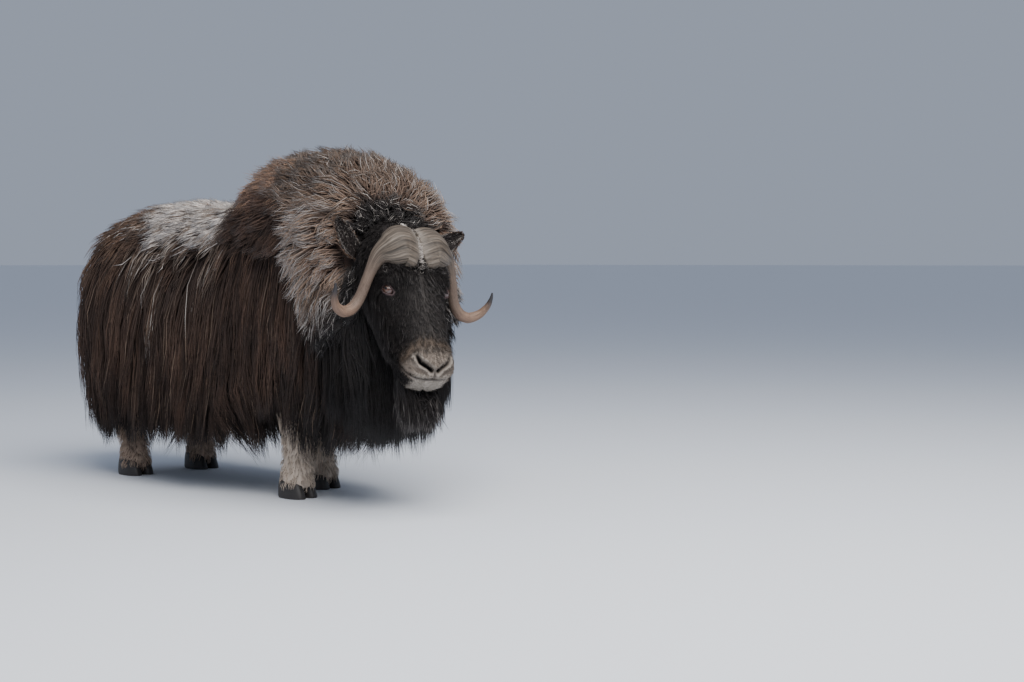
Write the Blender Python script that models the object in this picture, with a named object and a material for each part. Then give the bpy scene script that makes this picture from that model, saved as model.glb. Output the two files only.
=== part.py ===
"""A bull muskox standing still: body, coat locks, horns, legs and hooves as closed solids.

Metres, +X is the animal's forward direction, +Y its left, +Z up, the floor is z = 0.
"""
import math
import random

import bmesh
import bpy
from mathutils import Vector
from mathutils.bvhtree import BVHTree

# gap kept between two nodes that touch, and how far inflated cutters stand off
GAP = 0.0003
CLEAR = 0.0006
# reach of the blocks that cut an object at a plane
BLOCK_REACH = 4.0

DOWN = Vector((0.0, 0.0, -1.0))
UP = Vector((0.0, 0.0, 1.0))
BACK = Vector((-1.0, 0.0, 0.0))
SIDES = {"right": -1.0, "left": 1.0}
SEED = 7

COAT_HALF_WIDTH = 0.400

# torso core: x, top, widest height, bottom, half width
TORSO_ROWS = (
    (-1.050, 0.840, 0.740, 0.600, 0.040),
    (-1.020, 0.980, 0.740, 0.460, 0.190),
    (-0.930, 1.085, 0.740, 0.390, 0.292),
    (-0.760, 1.148, 0.740, 0.375, 0.340),
    (-0.450, 1.172, 0.740, 0.370, 0.355),
    (-0.200, 1.163, 0.740, 0.380, 0.350),
    (-0.060, 1.200, 0.750, 0.380, 0.340),
    (0.080, 1.288, 0.760, 0.385, 0.336),
    (0.250, 1.318, 0.760, 0.390, 0.335),
    (0.400, 1.280, 0.760, 0.405, 0.318),
    (0.520, 1.150, 0.740, 0.450, 0.265),
    (0.600, 0.950, 0.720, 0.550, 0.140),
)
TORSO_STATIONS = 16
TORSO_SIDES = 22
TORSO_SQUARENESS = 2.35
TORSO_CUT_X = -0.420

# slanted plane where the neck meets the torso: two points in the X-Z plane
NECK_PLANE_TOP = Vector((0.270, 0.0, 1.380))
NECK_PLANE_LOW = Vector((0.530, 0.0, 0.620))

# pose of the head: the skull's centre between the horns, and its turn
HEAD_ORIGIN = Vector((0.896, -0.143, 1.001))
HEAD_YAW = math.radians(-19.1)
HEAD_PITCH = math.radians(62.5)
HEAD_ROLL = math.radians(-7.9)

# head and jaw in one loft: u from poll to nose, half width, face side, throat side
HEAD_ROWS = (
    (-0.085, 0.050, 0.030, 0.080),
    (-0.065, 0.095, 0.058, 0.120),
    (-0.010, 0.130, 0.080, 0.150),
    (0.070, 0.150, 0.096, 0.165),
    (0.150, 0.150, 0.104, 0.168),
    (0.220, 0.137, 0.098, 0.165),
    (0.310, 0.120, 0.088, 0.150),
    (0.400, 0.103, 0.078, 0.128),
    (0.460, 0.100, 0.074, 0.112),
    (0.510, 0.092, 0.062, 0.098),
    (0.543, 0.070, 0.038, 0.078),
    (0.556, 0.035, 0.012, 0.052),
)
HEAD_STATIONS = 17
HEAD_SIDES = 20
HEAD_SQUARENESS = 2.25

# mouth: u and w of its corner and of its line's front end, and how far it stands open
MOUTH_CORNER = (0.385, -0.052)
MOUTH_FRONT = (0.600, 0.041)
MOUTH_OPEN = 0.0025
LIP_RADIUS = 0.0075
LIP_REACH = 0.148
LIP_STATIONS = 13
JAW_BLOCK_DEPTH = 0.300
JAW_BLOCK_HALF_WIDTH = 0.300

# beard under the chin: u, length and count of each row
BEARD_ROWS = ((0.440, 0.235, 4), (0.485, 0.215, 3))
BEARD_SPACING = 0.042
BEARD_FAN = 6.0
BEARD_WIDTH = 0.062
BEARD_FLARE = 0.020


EYE_PLACE = (0.212, 0.119, 0.042)
EYE_RADIUS = 0.0205
EYE_GRID = (12, 7)
LID_RADIUS = 0.0060
NOSTRIL_GRID = (12, 7)
NOSTRIL_PLACE = (0.506, 0.046, 0.055)
NOSTRIL_SIZE = (0.034, 0.0085, 0.020)

# cheek locks: width, lift and hang of each, then u, w and length
CHEEK_SIZES = (0.075, 0.022, 0.20)
CHEEK_ROWS = ((0.120, -0.060, 0.200), (0.200, -0.070, 0.210), (0.280, -0.070, 0.170))

# ear: base, tip, half width and thickness
EAR_BASE = (0.016, 0.148, -0.066)
EAR_TIPS = {"right": (-0.078, 0.262, -0.008), "left": (-0.070, 0.288, -0.026)}
EAR_HALF_WIDTH = 0.046
EAR_THICKNESS = 0.026
EAR_STATIONS = 6
EAR_SIDES = 8
EAR_BEND = 0.030
# the cup cut into an ear: share of the length it spans, its width, offset and depth
EAR_CUP_FROM = 0.30
EAR_CUP_TO = 0.98
EAR_CUP_WIDTH = 0.74
EAR_CUP_OUT = 0.62
EAR_CUP_DEPTH = 0.86

# horn: u, v, w of the centre line, then half width across and half thickness
HORN_ROWS = (
    (0.072, 0.014, 0.098, 0.074, 0.022),
    (0.068, 0.030, 0.106, 0.083, 0.036),
    (0.060, 0.066, 0.108, 0.082, 0.042),
    (0.074, 0.106, 0.091, 0.066, 0.040),
    (0.090, 0.143, 0.068, 0.036, 0.030),
    (0.127, 0.168, 0.041, 0.0230, 0.0225),
    (0.169, 0.186, 0.014, 0.0200, 0.0195),
    (0.214, 0.203, -0.020, 0.0205, 0.0200),
    (0.250, 0.231, -0.040, 0.0215, 0.0210),
    (0.266, 0.269, -0.042, 0.0205, 0.0200),
    (0.259, 0.308, -0.021, 0.0170, 0.0165),
    (0.241, 0.330, 0.010, 0.0120, 0.0120),
    (0.222, 0.336, 0.035, 0.0075, 0.0075),
    (0.202, 0.338, 0.051, 0.0030, 0.0030),
)
HORN_STATIONS = 23
HORN_SIDES = 10
BOSS_GROOVE = 0.010

# neck core: x, y, z of the centre, half width, reach up, reach down
NECK_ROWS = (
    (0.300, 0.000, 0.960, 0.315, 0.372, 0.360),
    (0.420, -0.005, 0.960, 0.318, 0.385, 0.390),
    (0.540, -0.020, 0.955, 0.318, 0.382, 0.430),
    (0.640, -0.045, 0.945, 0.312, 0.365, 0.440),
    (0.730, -0.068, 0.935, 0.305, 0.340, 0.405),
    (0.800, -0.088, 0.930, 0.280, 0.300, 0.345),
    (0.855, -0.110, 0.925, 0.222, 0.242, 0.265),
    (0.888, -0.130, 0.920, 0.115, 0.130, 0.150),
)
NECK_STATIONS = 11
NECK_SIDES = 20
NECK_SQUARENESS = 2.15
NECK_END_AXIS = Vector((0.970, -0.170, 0.160))

# mane rows: x, lock length, width, lift at the tip, count; the lowest stands at MANE_START degrees
MANE_ROWS = (
    (0.380, 0.160, 0.126, 0.066, 8),
    (0.480, 0.170, 0.126, 0.072, 8),
    (0.580, 0.175, 0.124, 0.075, 9),
    (0.680, 0.170, 0.118, 0.074, 9),
    (0.770, 0.150, 0.110, 0.074, 9),
    (0.840, 0.125, 0.096, 0.066, 8),
)
MANE_START = -24.0
MANE_THICKNESS = 0.030
# hair at the sides of the throat: x, height, length, lift
THROAT_SIDE_ROWS = (
    (0.570, 0.740, 0.400, 0.045),
    (0.650, 0.730, 0.400, 0.045),
    (0.725, 0.730, 0.390, 0.045),
    (0.792, 0.770, 0.370, 0.045),
)
# hair under the throat: x, length
THROAT_ROWS = ((0.600, 0.290), (0.680, 0.290), (0.755, 0.300), (0.815, 0.330))
THROAT_COUNT = 4
THROAT_WIDTH = 0.115
THROAT_SPREAD = 1.55
THROAT_BOW = 0.010
THROAT_LEAN = (0.45, 4.0)
THROAT_HANG = 0.30

# limbs: foot place, then rows of z, shift forward, half length, half width
FOOT_PLACES = {
    "foreleg_right": (0.300, -0.140),
    "foreleg_left": (0.165, 0.105),
    "hindleg_right": (-0.768, -0.170),
    "hindleg_left": (-0.725, 0.155),
}
LIMB_TOP_Z = 0.420
FORELEG_ROWS = (
    (0.420, -0.010, 0.092, 0.078),
    (0.330, -0.005, 0.078, 0.070),
    (0.260, 0.000, 0.068, 0.064),
    (0.170, 0.000, 0.064, 0.060),
    (0.110, 0.002, 0.070, 0.066),
    (0.070, 0.004, 0.075, 0.071),
)
HINDLEG_ROWS = (
    (0.420, -0.075, 0.102, 0.076),
    (0.340, -0.070, 0.090, 0.068),
    (0.260, -0.045, 0.076, 0.061),
    (0.170, -0.018, 0.067, 0.058),
    (0.110, 0.000, 0.069, 0.062),
    (0.070, 0.006, 0.071, 0.067),
)
LIMB_SIDES = 12
LIMB_STATIONS = 7
HOOF_LENGTH = 0.134
HOOF_WIDTH = 0.062
HOOF_SPLIT = 0.006
HOOF_ROWS = ((0.0, 1.0), (0.010, 1.02), (0.042, 0.92), (0.0697, 0.78))
HOOF_SIDES = 12
HOOF_SQUARENESS = 2.6
HOOF_SLOPE = 0.22
HOOF_NARROWING = 0.16
HOOF_FORWARD = 0.010
STUMP_LOW_Z = 0.340
STUMP_ROOT_Z = 0.600

TAIL_ROOT = Vector((-1.040, 0.0, 0.945))
TAIL_LENGTH = 0.230
TAIL_SLANT = 0.035
TAIL_HALF_WIDTH = 0.038
TAIL_HALF_DEPTH = 0.034
TAIL_ROWS = ((0.0, 0.55), (0.2, 0.9), (0.5, 1.0), (0.8, 0.7), (0.94, 0.35))
TAIL_SIDES = 10

# coat on the torso: tiers as height, length, width, lift at the tip
TIERS = (
    (1.080, 0.330, 0.122, 0.044),
    (0.905, 0.350, 0.122, 0.060),
    (0.725, 0.360, 0.122, 0.070),
    (0.545, 0.395, 0.118, 0.070),
)
TIER_SPACING = 0.124
TIER_FRONT_X = 0.480
TIER_REAR_X = -0.640
TIER_REACH = 1.500
LOCK_THICKNESS = 0.024
LOCK_SINK = 0.030
LOCK_FLOOR = 0.150
# how far a lock swings aside, how its lift grows, and how far from the core it still follows it
LOCK_BEND = 0.420
LOCK_SINK_BACK = 0.010
LIFT_AT_ROOT = 0.35
LIFT_GAIN = 0.75
LOCK_FOLLOW = 0.200
# section of a lock: share of its thickness inside its centre line, width at the root, then by ring
LOCK_INSIDE = 0.35
LOCK_ROOT_WIDTH = 0.66
LOCK_SHARES = {2: (1.0, 0.72), 3: (1.0, 0.98, 0.66)}
FLANK_HANG = 0.25
FLANK_DRIFT = 0.06
HEIGHT_SPREAD = 0.025
LOCK_LAYER = (-0.010, 0.012)
KNEE_GAP_X = (0.190, 0.400)
KNEE_GAP_LENGTH = 0.180
TAIL_CLEARANCE = 0.086

# no lock of the upper tiers stands behind this x within the tail's own width
TAIL_REGION_X = -0.840

# locks along the top, length, width, lift, its spread, thickness, fan and stagger
BACK_ROWS_X = (-0.130, -0.300, -0.470, -0.640, -0.800)
BACK_ROWS_Y = (-0.235, -0.118, 0.0, 0.118, 0.235)
BACK_SIZES = (0.235, 0.112, 0.034, 0.008, 0.018, 0.9, 0.085)
HUMP_ROWS_X = (0.205, 0.085, -0.030)
HUMP_ROWS_Y = (-0.200, -0.100, 0.0, 0.100, 0.200)
HUMP_SIZES = (0.165, 0.098, 0.056, 0.012, 0.026, 1.6, 0.050)

# locks on the shoulders' upper sides: x of the roots, height, length, width, lift and slant
SHOULDER_ROWS_X = (0.270, 0.160, 0.050, -0.060)
SHOULDER_HEIGHT = 1.185
SHOULDER_SIZES = (0.235, 0.120, 0.050, 0.35)

CHEST_COUNT = 6
CHEST_FAN = 58.0
CHEST_CENTRE_X = 0.300
CHEST_HEIGHT = 0.640
CHEST_LENGTH = 0.370
CHEST_WIDTH = 0.105
CHEST_LIFT = 0.040

COLOURS = {
    "coat": ((0.030, 0.021, 0.017), 0.85, 0.0),
    "mane": ((0.120, 0.078, 0.050), 0.88, 0.0),
    "face": ((0.028, 0.023, 0.021), 0.85, 0.0),
    "leg_fur": ((0.300, 0.250, 0.195), 0.90, 0.0),
    "horn": ((0.300, 0.235, 0.175), 0.55, 0.0),
    "hoof": ((0.045, 0.038, 0.034), 0.50, 0.0),
    "eye": ((0.060, 0.028, 0.018), 0.10, 0.0),
}


def clear_scene():
    """Removes what a new file brings along."""
    for item in list(bpy.data.objects):
        bpy.data.objects.remove(item, do_unlink=True)


def make_materials():
    """One Principled material for each colour."""
    found = {}
    for name, (colour, roughness, metallic) in COLOURS.items():
        material = bpy.data.materials.new(name)
        material.use_nodes = True
        shader = material.node_tree.nodes["Principled BSDF"]
        shader.inputs["Base Color"].default_value = (*colour, 1.0)
        shader.inputs["Roughness"].default_value = roughness
        shader.inputs["Metallic"].default_value = metallic
        found[name] = material
    return found


def table_row(rows, x):
    """The columns of a table at x, on smooth curves through its rows."""
    last = len(rows) - 1
    index = 0
    while index < last - 1 and x > rows[index + 1][0]:
        index += 1
    left, right = rows[index], rows[index + 1]
    before = rows[max(index - 1, 0)]
    after = rows[min(index + 2, last)]
    span = right[0] - left[0]
    t = min(max((x - left[0]) / span, 0.0), 1.0)
    values = []
    for column in range(1, len(left)):
        rise = right[column] - left[column]
        slope_in = (right[column] - before[column]) / (right[0] - before[0]) * span
        slope_out = (after[column] - left[column]) / (after[0] - left[0]) * span
        if slope_in * rise <= 0.0:
            slope_in = 0.0
        if slope_out * rise <= 0.0:
            slope_out = 0.0
        a = 2 * t ** 3 - 3 * t ** 2 + 1
        b = t ** 3 - 2 * t ** 2 + t
        c = -2 * t ** 3 + 3 * t ** 2
        d = t ** 3 - t ** 2
        values.append(a * left[column] + b * slope_in + c * right[column] + d * slope_out)
    return values


def squared(angle, power):
    """Cosine and sine of an angle, pushed out toward a square."""
    cosine, sine = math.cos(angle), math.sin(angle)
    across = math.copysign(abs(cosine) ** (2.0 / power), cosine)
    along = math.copysign(abs(sine) ** (2.0 / power), sine)
    return across, along


def mesh_object(name, vertices, faces, material=None):
    """A linked object made from points and faces."""
    mesh = bpy.data.meshes.new(name)
    mesh.from_pydata([tuple(v) for v in vertices], [], faces)
    if material is not None:
        mesh.materials.append(material)
    item = bpy.data.objects.new(name, mesh)
    bpy.context.scene.collection.objects.link(item)
    outward(item)
    return item


def outward(item):
    """Turns all faces of an object to the outside."""
    work = bmesh.new()
    work.from_mesh(item.data)
    bmesh.ops.recalc_face_normals(work, faces=work.faces)
    if work.calc_volume(signed=True) < 0.0:
        bmesh.ops.reverse_faces(work, faces=work.faces)
    work.to_mesh(item.data)
    work.free()


def loft(name, rings, material=None, tip=False):
    """A closed skin over rings of equal count, ended by a cap or a point."""
    sides = len(rings[0])
    vertices = [point for ring in rings for point in ring]
    faces = [tuple(reversed(range(sides)))]
    for level in range(len(rings) - 1):
        low, high = level * sides, (level + 1) * sides
        for k in range(sides):
            after = (k + 1) % sides
            faces.append((low + k, low + after, high + after))
            faces.append((low + k, high + after, high + k))
    end = (len(rings) - 1) * sides
    if tip:
        vertices.append(tip)
        peak = len(vertices) - 1
        for k in range(sides):
            faces.append((end + k, end + (k + 1) % sides, peak))
    else:
        faces.append(tuple(range(end, end + sides)))
    return mesh_object(name, vertices, faces, material)


def apply_modifiers(item):
    """Bakes an object's modifiers into its mesh."""
    graph = bpy.context.evaluated_depsgraph_get()
    baked = bpy.data.meshes.new_from_object(item.evaluated_get(graph))
    item.modifiers.clear()
    old = item.data
    item.data = baked
    baked.name = item.name
    bpy.data.meshes.remove(old)


def remove(items):
    """Removes helper objects with their meshes."""
    for item in items:
        mesh = item.data
        bpy.data.objects.remove(item, do_unlink=True)
        bpy.data.meshes.remove(mesh)


def combine(item, other, operation, solver="EXACT"):
    """One Boolean of an object with a helper, which is then removed."""
    change = item.modifiers.new("change", "BOOLEAN")
    change.operation = operation
    change.solver = solver
    change.object = other
    apply_modifiers(item)
    remove([other])


def join_all(item, pieces):
    """One union of an object with a collection of closed pieces."""
    if not pieces:
        return
    group = bpy.data.collections.new(item.name + "_pieces")
    bpy.context.scene.collection.children.link(group)
    for piece in pieces:
        bpy.context.scene.collection.objects.unlink(piece)
        group.objects.link(piece)
    union = item.modifiers.new("union", "BOOLEAN")
    union.operation = "UNION"
    union.solver = "MANIFOLD"
    union.operand_type = "COLLECTION"
    union.collection = group
    apply_modifiers(item)
    remove(pieces)
    bpy.data.collections.remove(group)


def inflated(item):
    """Moves every face of a closed helper outward by the clearance."""
    work = bmesh.new()
    work.from_mesh(item.data)
    work.normal_update()
    moves = [vertex.normal * CLEAR * vertex.calc_shell_factor() for vertex in work.verts]
    for vertex, move in zip(work.verts, moves):
        vertex.co += move
    work.to_mesh(item.data)
    work.free()
    return item


def keep_largest(item):
    """Keeps only the closed surface with the largest extent."""
    work = bmesh.new()
    work.from_mesh(item.data)
    work.verts.ensure_lookup_table()
    seen = set()
    shells = []
    for start in work.verts:
        if start in seen:
            continue
        shell = []
        queue = [start]
        seen.add(start)
        while queue:
            vertex = queue.pop()
            shell.append(vertex)
            for edge in vertex.link_edges:
                other = edge.other_vert(vertex)
                if other not in seen:
                    seen.add(other)
                    queue.append(other)
        shells.append(shell)

    def extent(shell):
        size = 1.0
        for axis in range(3):
            values = [vertex.co[axis] for vertex in shell]
            size *= max(values) - min(values) + GAP
        return size

    shells.sort(key=extent)
    for shell in shells[:-1]:
        bmesh.ops.delete(work, geom=shell, context="VERTS")
    work.to_mesh(item.data)
    work.free()


def half_space(point, normal):
    """A large box that fills the side of a plane that its normal points to."""
    axis = normal.normalized()
    side = axis.cross(UP if abs(axis.z) < 0.9 else BACK).normalized()
    other = axis.cross(side)
    vertices = []
    for depth in (0.0, BLOCK_REACH):
        for a, b in ((-1, -1), (1, -1), (1, 1), (-1, 1)):
            vertices.append(point + axis * depth + (side * a + other * b) * BLOCK_REACH)
    faces = [(3, 2, 1, 0), (4, 5, 6, 7), (0, 1, 5, 4), (1, 2, 6, 5), (2, 3, 7, 6), (3, 0, 4, 7)]
    return mesh_object("half_space", vertices, faces)


def keep_side(item, point, normal):
    """Cuts an object to the side of a plane that the normal points to."""
    combine(item, half_space(point, normal), "INTERSECT", "MANIFOLD")


def surface_tree(item):
    """Search tree of an object's surface."""
    work = bmesh.new()
    work.from_mesh(item.data)
    bmesh.ops.triangulate(work, faces=work.faces)
    tree = BVHTree.FromBMesh(work)
    work.free()
    return tree


def flat_lock(tree, root, normal, lie, length, width, lift, draw, hang=0.0, rings=3,
              thickness=LOCK_THICKNESS):
    """A flat tapered lock that leaves the surface at its root and follows its lie."""
    normal = normal.normalized()
    lie = (lie - normal * lie.dot(normal)).normalized()
    bend = draw.uniform(-LOCK_BEND, LOCK_BEND)
    across = normal.cross(lie).normalized()
    centres = [root - normal * LOCK_SINK - lie * LOCK_SINK_BACK]
    normals = [normal]
    place, heading, facing = root.copy(), lie.copy(), normal.copy()
    step = length / rings
    for level in range(1, rings + 1):
        share = level / rings
        heading = (heading * (1.0 - hang) + DOWN * hang).normalized()
        place = place + heading * step + across * (bend * width * (2 * share - 1) / rings)
        near, slope, _, _ = tree.find_nearest(place)
        side = (place - near).dot(slope)
        want = lift * min(1.0, LIFT_AT_ROOT + share * LIFT_GAIN)
        if side < want and (place - near).length < LOCK_FOLLOW:
            place = near + slope * want
            facing = slope.copy()
            heading = (heading - slope * heading.dot(slope)).normalized()
        place.z = max(place.z, LOCK_FLOOR)
        centres.append(place.copy())
        normals.append(facing.copy())
    rings_made = []
    for level in range(rings):
        along = centres[level + 1] - centres[level]
        if level:
            along = along + (centres[level] - centres[level - 1])
        wide = normals[level].cross(along).normalized()
        thick = along.cross(wide).normalized()
        half = width * 0.5 * (LOCK_ROOT_WIDTH if level == 0 else LOCK_SHARES[rings][level])
        deep = thickness * LOCK_SHARES[rings][level]
        centre = centres[level]
        rings_made.append([
            centre + wide * half - thick * deep * LOCK_INSIDE,
            centre + thick * deep * (1.0 - LOCK_INSIDE),
            centre - wide * half - thick * deep * LOCK_INSIDE,
        ])
    return loft("lock", rings_made, tip=centres[-1])


def head_axes():
    """Directions of the head: along the face, to its left, and out of the face."""
    yaw_cos, yaw_sin = math.cos(HEAD_YAW), math.sin(HEAD_YAW)
    pitch_cos, pitch_sin = math.cos(HEAD_PITCH), math.sin(HEAD_PITCH)
    u = Vector((pitch_cos * yaw_cos, pitch_cos * yaw_sin, -pitch_sin))
    w = Vector((pitch_sin * yaw_cos, pitch_sin * yaw_sin, pitch_cos))
    v = Vector((-yaw_sin, yaw_cos, 0.0))
    roll_cos, roll_sin = math.cos(HEAD_ROLL), math.sin(HEAD_ROLL)
    return u, v * roll_cos + w * roll_sin, w * roll_cos - v * roll_sin


HEAD_U, HEAD_V, HEAD_W = head_axes()


def head_point(u, v, w):
    """A point given in the head's own directions."""
    return HEAD_ORIGIN + HEAD_U * u + HEAD_V * v + HEAD_W * w


def neck_plane():
    """Middle and forward normal of the plane between neck and torso."""
    along = (NECK_PLANE_TOP - NECK_PLANE_LOW).normalized()
    normal = Vector((along.z, 0.0, -along.x)).normalized()
    return (NECK_PLANE_TOP + NECK_PLANE_LOW) * 0.5, normal


def spread(first, last, count, gather=0.0):
    """Evenly spaced values, gathered toward both ends where asked."""
    values = []
    for k in range(count):
        t = k / (count - 1)
        t = t * (1.0 - gather) + (0.5 - 0.5 * math.cos(math.pi * t)) * gather
        values.append(first + (last - first) * t)
    return values


def torso_ring(x):
    """Section of the torso core across X."""
    top, middle, bottom, half = table_row(TORSO_ROWS, x)
    ring = []
    for k in range(TORSO_SIDES):
        angle = 2 * math.pi * (k + 0.5) / TORSO_SIDES
        across, along = squared(angle, TORSO_SQUARENESS)
        reach = top - middle if along > 0 else middle - bottom
        ring.append(Vector((x, half * across, middle + reach * along)))
    return ring


def torso_core(name, material):
    """The whole barrel from rump to chest, with coat to about half its depth."""
    stations = spread(TORSO_ROWS[0][0], TORSO_ROWS[-1][0], TORSO_STATIONS, 0.55)
    return loft(name, [torso_ring(x) for x in stations], material)


def limb_ring(rows, place, z):
    """Section of a limb at height z."""
    forward, half_length, half_width = table_row(tuple(reversed(rows)), z)
    ring = []
    for k in range(LIMB_SIDES):
        angle = 2 * math.pi * k / LIMB_SIDES
        x = place[0] + forward + half_length * math.cos(angle)
        ring.append(Vector((x, place[1] + half_width * math.sin(angle), z)))
    return ring


def limb_rows(name):
    """The table for a fore or hind limb."""
    return FORELEG_ROWS if name.startswith("fore") else HINDLEG_ROWS


def limb_rings(name):
    """Sections of a leg from above its hoof to where it leaves the body."""
    rows = limb_rows(name)
    heights = spread(rows[-1][0] + GAP, rows[0][0], LIMB_STATIONS)
    return [limb_ring(rows, FOOT_PLACES[name], z) for z in heights]


def limb_stumps(names):
    """Short stumps inside the coat that carry the legs face to face."""
    stumps = []
    for name in names:
        base = limb_ring(limb_rows(name), FOOT_PLACES[name], LIMB_TOP_Z)
        lower = [Vector((point.x, point.y, STUMP_LOW_Z)) for point in base]
        upper = [Vector((point.x, point.y, STUMP_ROOT_Z)) for point in base]
        stumps.append(loft("stump", [lower, upper]))
    return stumps


def cut_limbs_out(item, names):
    """Keeps a body half clear of the legs that stand under it."""
    for name in names:
        cutter = inflated(loft("limb_cutter", limb_rings(name)))
        combine(item, cutter, "DIFFERENCE", "MANIFOLD")


def cast_root(tree, x, y, z, toward):
    """Where a level ray from outside meets the core, and the normal there."""
    start = Vector((x, y, z))
    place, normal, _, _ = tree.ray_cast(start, toward.normalized())
    return place, normal


def ring_starts(offset):
    """Level ray starts and directions round the torso from right to left shoulder."""
    straight = TIER_FRONT_X - TIER_REAR_X
    turn = math.pi * COAT_HALF_WIDTH
    total = 2 * straight + turn
    count = int(total / TIER_SPACING)
    starts = []
    for k in range(count):
        s = (k + 0.5 + offset) * total / count
        if s < straight:
            starts.append((TIER_FRONT_X - s, -TIER_REACH, Vector((0.0, 1.0, 0.0))))
        elif s < straight + turn:
            angle = -0.5 * math.pi - (s - straight) / turn * math.pi
            way = Vector((math.cos(angle), math.sin(angle), 0.0))
            starts.append((TIER_REAR_X + way.x * TIER_REACH, way.y * TIER_REACH, -way))
        elif s < total:
            starts.append((TIER_REAR_X + s - straight - turn, TIER_REACH, Vector((0.0, -1.0, 0.0))))
    return starts


def torso_locks(tree, draw):
    """Locks of the flanks and rump in tiers, each with the x of its root."""
    made = []
    lowest = len(TIERS) - 1
    for number, (height, length, width, lift) in enumerate(TIERS):
        rings = 2 if number == 0 else 3
        for k, (x, y, toward) in enumerate(ring_starts(0.5 * (number % 2))):
            z = height + draw.uniform(-HEIGHT_SPREAD, HEIGHT_SPREAD)
            root, normal = cast_root(tree, x, y, z, toward)
            if root is None:
                continue
            if root.x < TAIL_REGION_X and abs(root.y) < TAIL_CLEARANCE and number < lowest:
                continue
            reach = length * draw.uniform(0.92, 1.06)
            if number == lowest and KNEE_GAP_X[0] < root.x < KNEE_GAP_X[1]:
                reach = KNEE_GAP_LENGTH
            away = lift + LOCK_LAYER[k % 2]
            lie = DOWN + BACK * FLANK_DRIFT
            lock = flat_lock(tree, root, normal, lie, reach, width, away, draw, FLANK_HANG, rings)
            made.append((root.x, lock))
    return made


def top_rows(tree, draw, rows_x, rows_y, sizes):
    """Rows of locks that lie back along the top of the body."""
    length, width, lift, rise, thickness, fan, stagger = sizes
    made = []
    for x in rows_x:
        for column, y in enumerate(rows_y):
            start = Vector((x - stagger * (column % 2), y, 2.0))
            root, normal, _, _ = tree.ray_cast(start, DOWN)
            if root is None:
                continue
            lie = BACK + Vector((0.0, fan * y, 0.0))
            away = lift + draw.uniform(0.0, rise)
            lock = flat_lock(tree, root, normal, lie, length, width, away, draw, 0.0, 2, thickness)
            made.append((root.x, lock))
    return made


def shoulder_locks(tree, draw):
    """Locks that fall from both sides of the hump over the shoulders."""
    length, width, lift, slant = SHOULDER_SIZES
    made = []
    for side in SIDES.values():
        for x in SHOULDER_ROWS_X:
            height = SHOULDER_HEIGHT + draw.uniform(-HEIGHT_SPREAD, HEIGHT_SPREAD)
            root, normal = cast_root(tree, x, side * TIER_REACH, height, Vector((0.0, -side, 0.0)))
            if root is None:
                continue
            lock = flat_lock(tree, root, normal, DOWN + BACK * slant, length, width, lift, draw, rings=2)
            made.append((root.x, lock))
    return made


def chest_locks(tree, draw):
    """Long locks that hang from the brisket in front of the forelegs."""
    made = []
    for k in range(CHEST_COUNT):
        angle = math.radians(CHEST_FAN * (2 * k / (CHEST_COUNT - 1) - 1))
        way = Vector((math.cos(angle), math.sin(angle), 0.0))
        start = Vector((CHEST_CENTRE_X, 0.0, 0.0)) + way * TIER_REACH
        root, normal = cast_root(tree, start.x, start.y, CHEST_HEIGHT, -way)
        if root is None:
            continue
        reach = CHEST_LENGTH * draw.uniform(0.94, 1.04)
        lock = flat_lock(tree, root, normal, DOWN, reach, CHEST_WIDTH, CHEST_LIFT, draw, FLANK_HANG)
        made.append((root.x, lock))
    return made


def make_torso(materials):
    """Front and rear halves of the body with their locks, parted by a thin cut."""
    draw = random.Random(SEED)
    guide = torso_core("guide", None)
    tree = surface_tree(guide)
    locks = torso_locks(tree, draw)
    locks += top_rows(tree, draw, BACK_ROWS_X, BACK_ROWS_Y, BACK_SIZES)
    locks += top_rows(tree, draw, HUMP_ROWS_X, HUMP_ROWS_Y, HUMP_SIZES)
    locks += shoulder_locks(tree, draw)
    locks += chest_locks(tree, draw)
    remove([guide])
    cut = Vector((TORSO_CUT_X, 0.0, 0.0))
    middle, normal = neck_plane()
    front = torso_core("torso", materials["coat"])
    rear = torso_core("hindquarters", materials["coat"])
    own = {"front": [], "rear": []}
    for x, lock in locks:
        own["front" if x > TORSO_CUT_X else "rear"].append(lock)
    join_all(front, own["front"] + limb_stumps(["foreleg_right", "foreleg_left"]))
    join_all(rear, own["rear"] + limb_stumps(["hindleg_right", "hindleg_left"]))
    cut_limbs_out(front, ["foreleg_right", "foreleg_left"])
    cut_limbs_out(rear, ["hindleg_right", "hindleg_left"])
    combine(rear, inflated(tail_form("tail_cutter")), "DIFFERENCE", "MANIFOLD")
    keep_side(front, cut - BACK * GAP, -BACK)
    keep_side(front, middle, -normal)
    keep_side(rear, cut, BACK)
    keep_largest(front)
    keep_largest(rear)
    return front, rear


def neck_ring(x):
    """Section of the neck core, leaning with the neck's own direction."""
    y, z, half, reach_up, reach_down = table_row(NECK_ROWS, x)
    share = (x - NECK_ROWS[0][0]) / (NECK_ROWS[-1][0] - NECK_ROWS[0][0])
    lean_body = neck_plane()[1]
    axis = (lean_body * (1.0 - share) + NECK_END_AXIS * share).normalized()
    side = UP.cross(axis).normalized()
    rise = axis.cross(side).normalized()
    ring = []
    for k in range(NECK_SIDES):
        angle = 2 * math.pi * (k + 0.5) / NECK_SIDES
        across, along = squared(angle, NECK_SQUARENESS)
        reach = reach_up if along > 0 else reach_down
        ring.append(Vector((x, y, z)) + side * half * across + rise * reach * along)
    return ring


def neck_core(name, material):
    """The neck inside its mane."""
    stations = spread(NECK_ROWS[0][0], NECK_ROWS[-1][0], NECK_STATIONS)
    return loft(name, [neck_ring(x) for x in stations], material)


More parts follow.
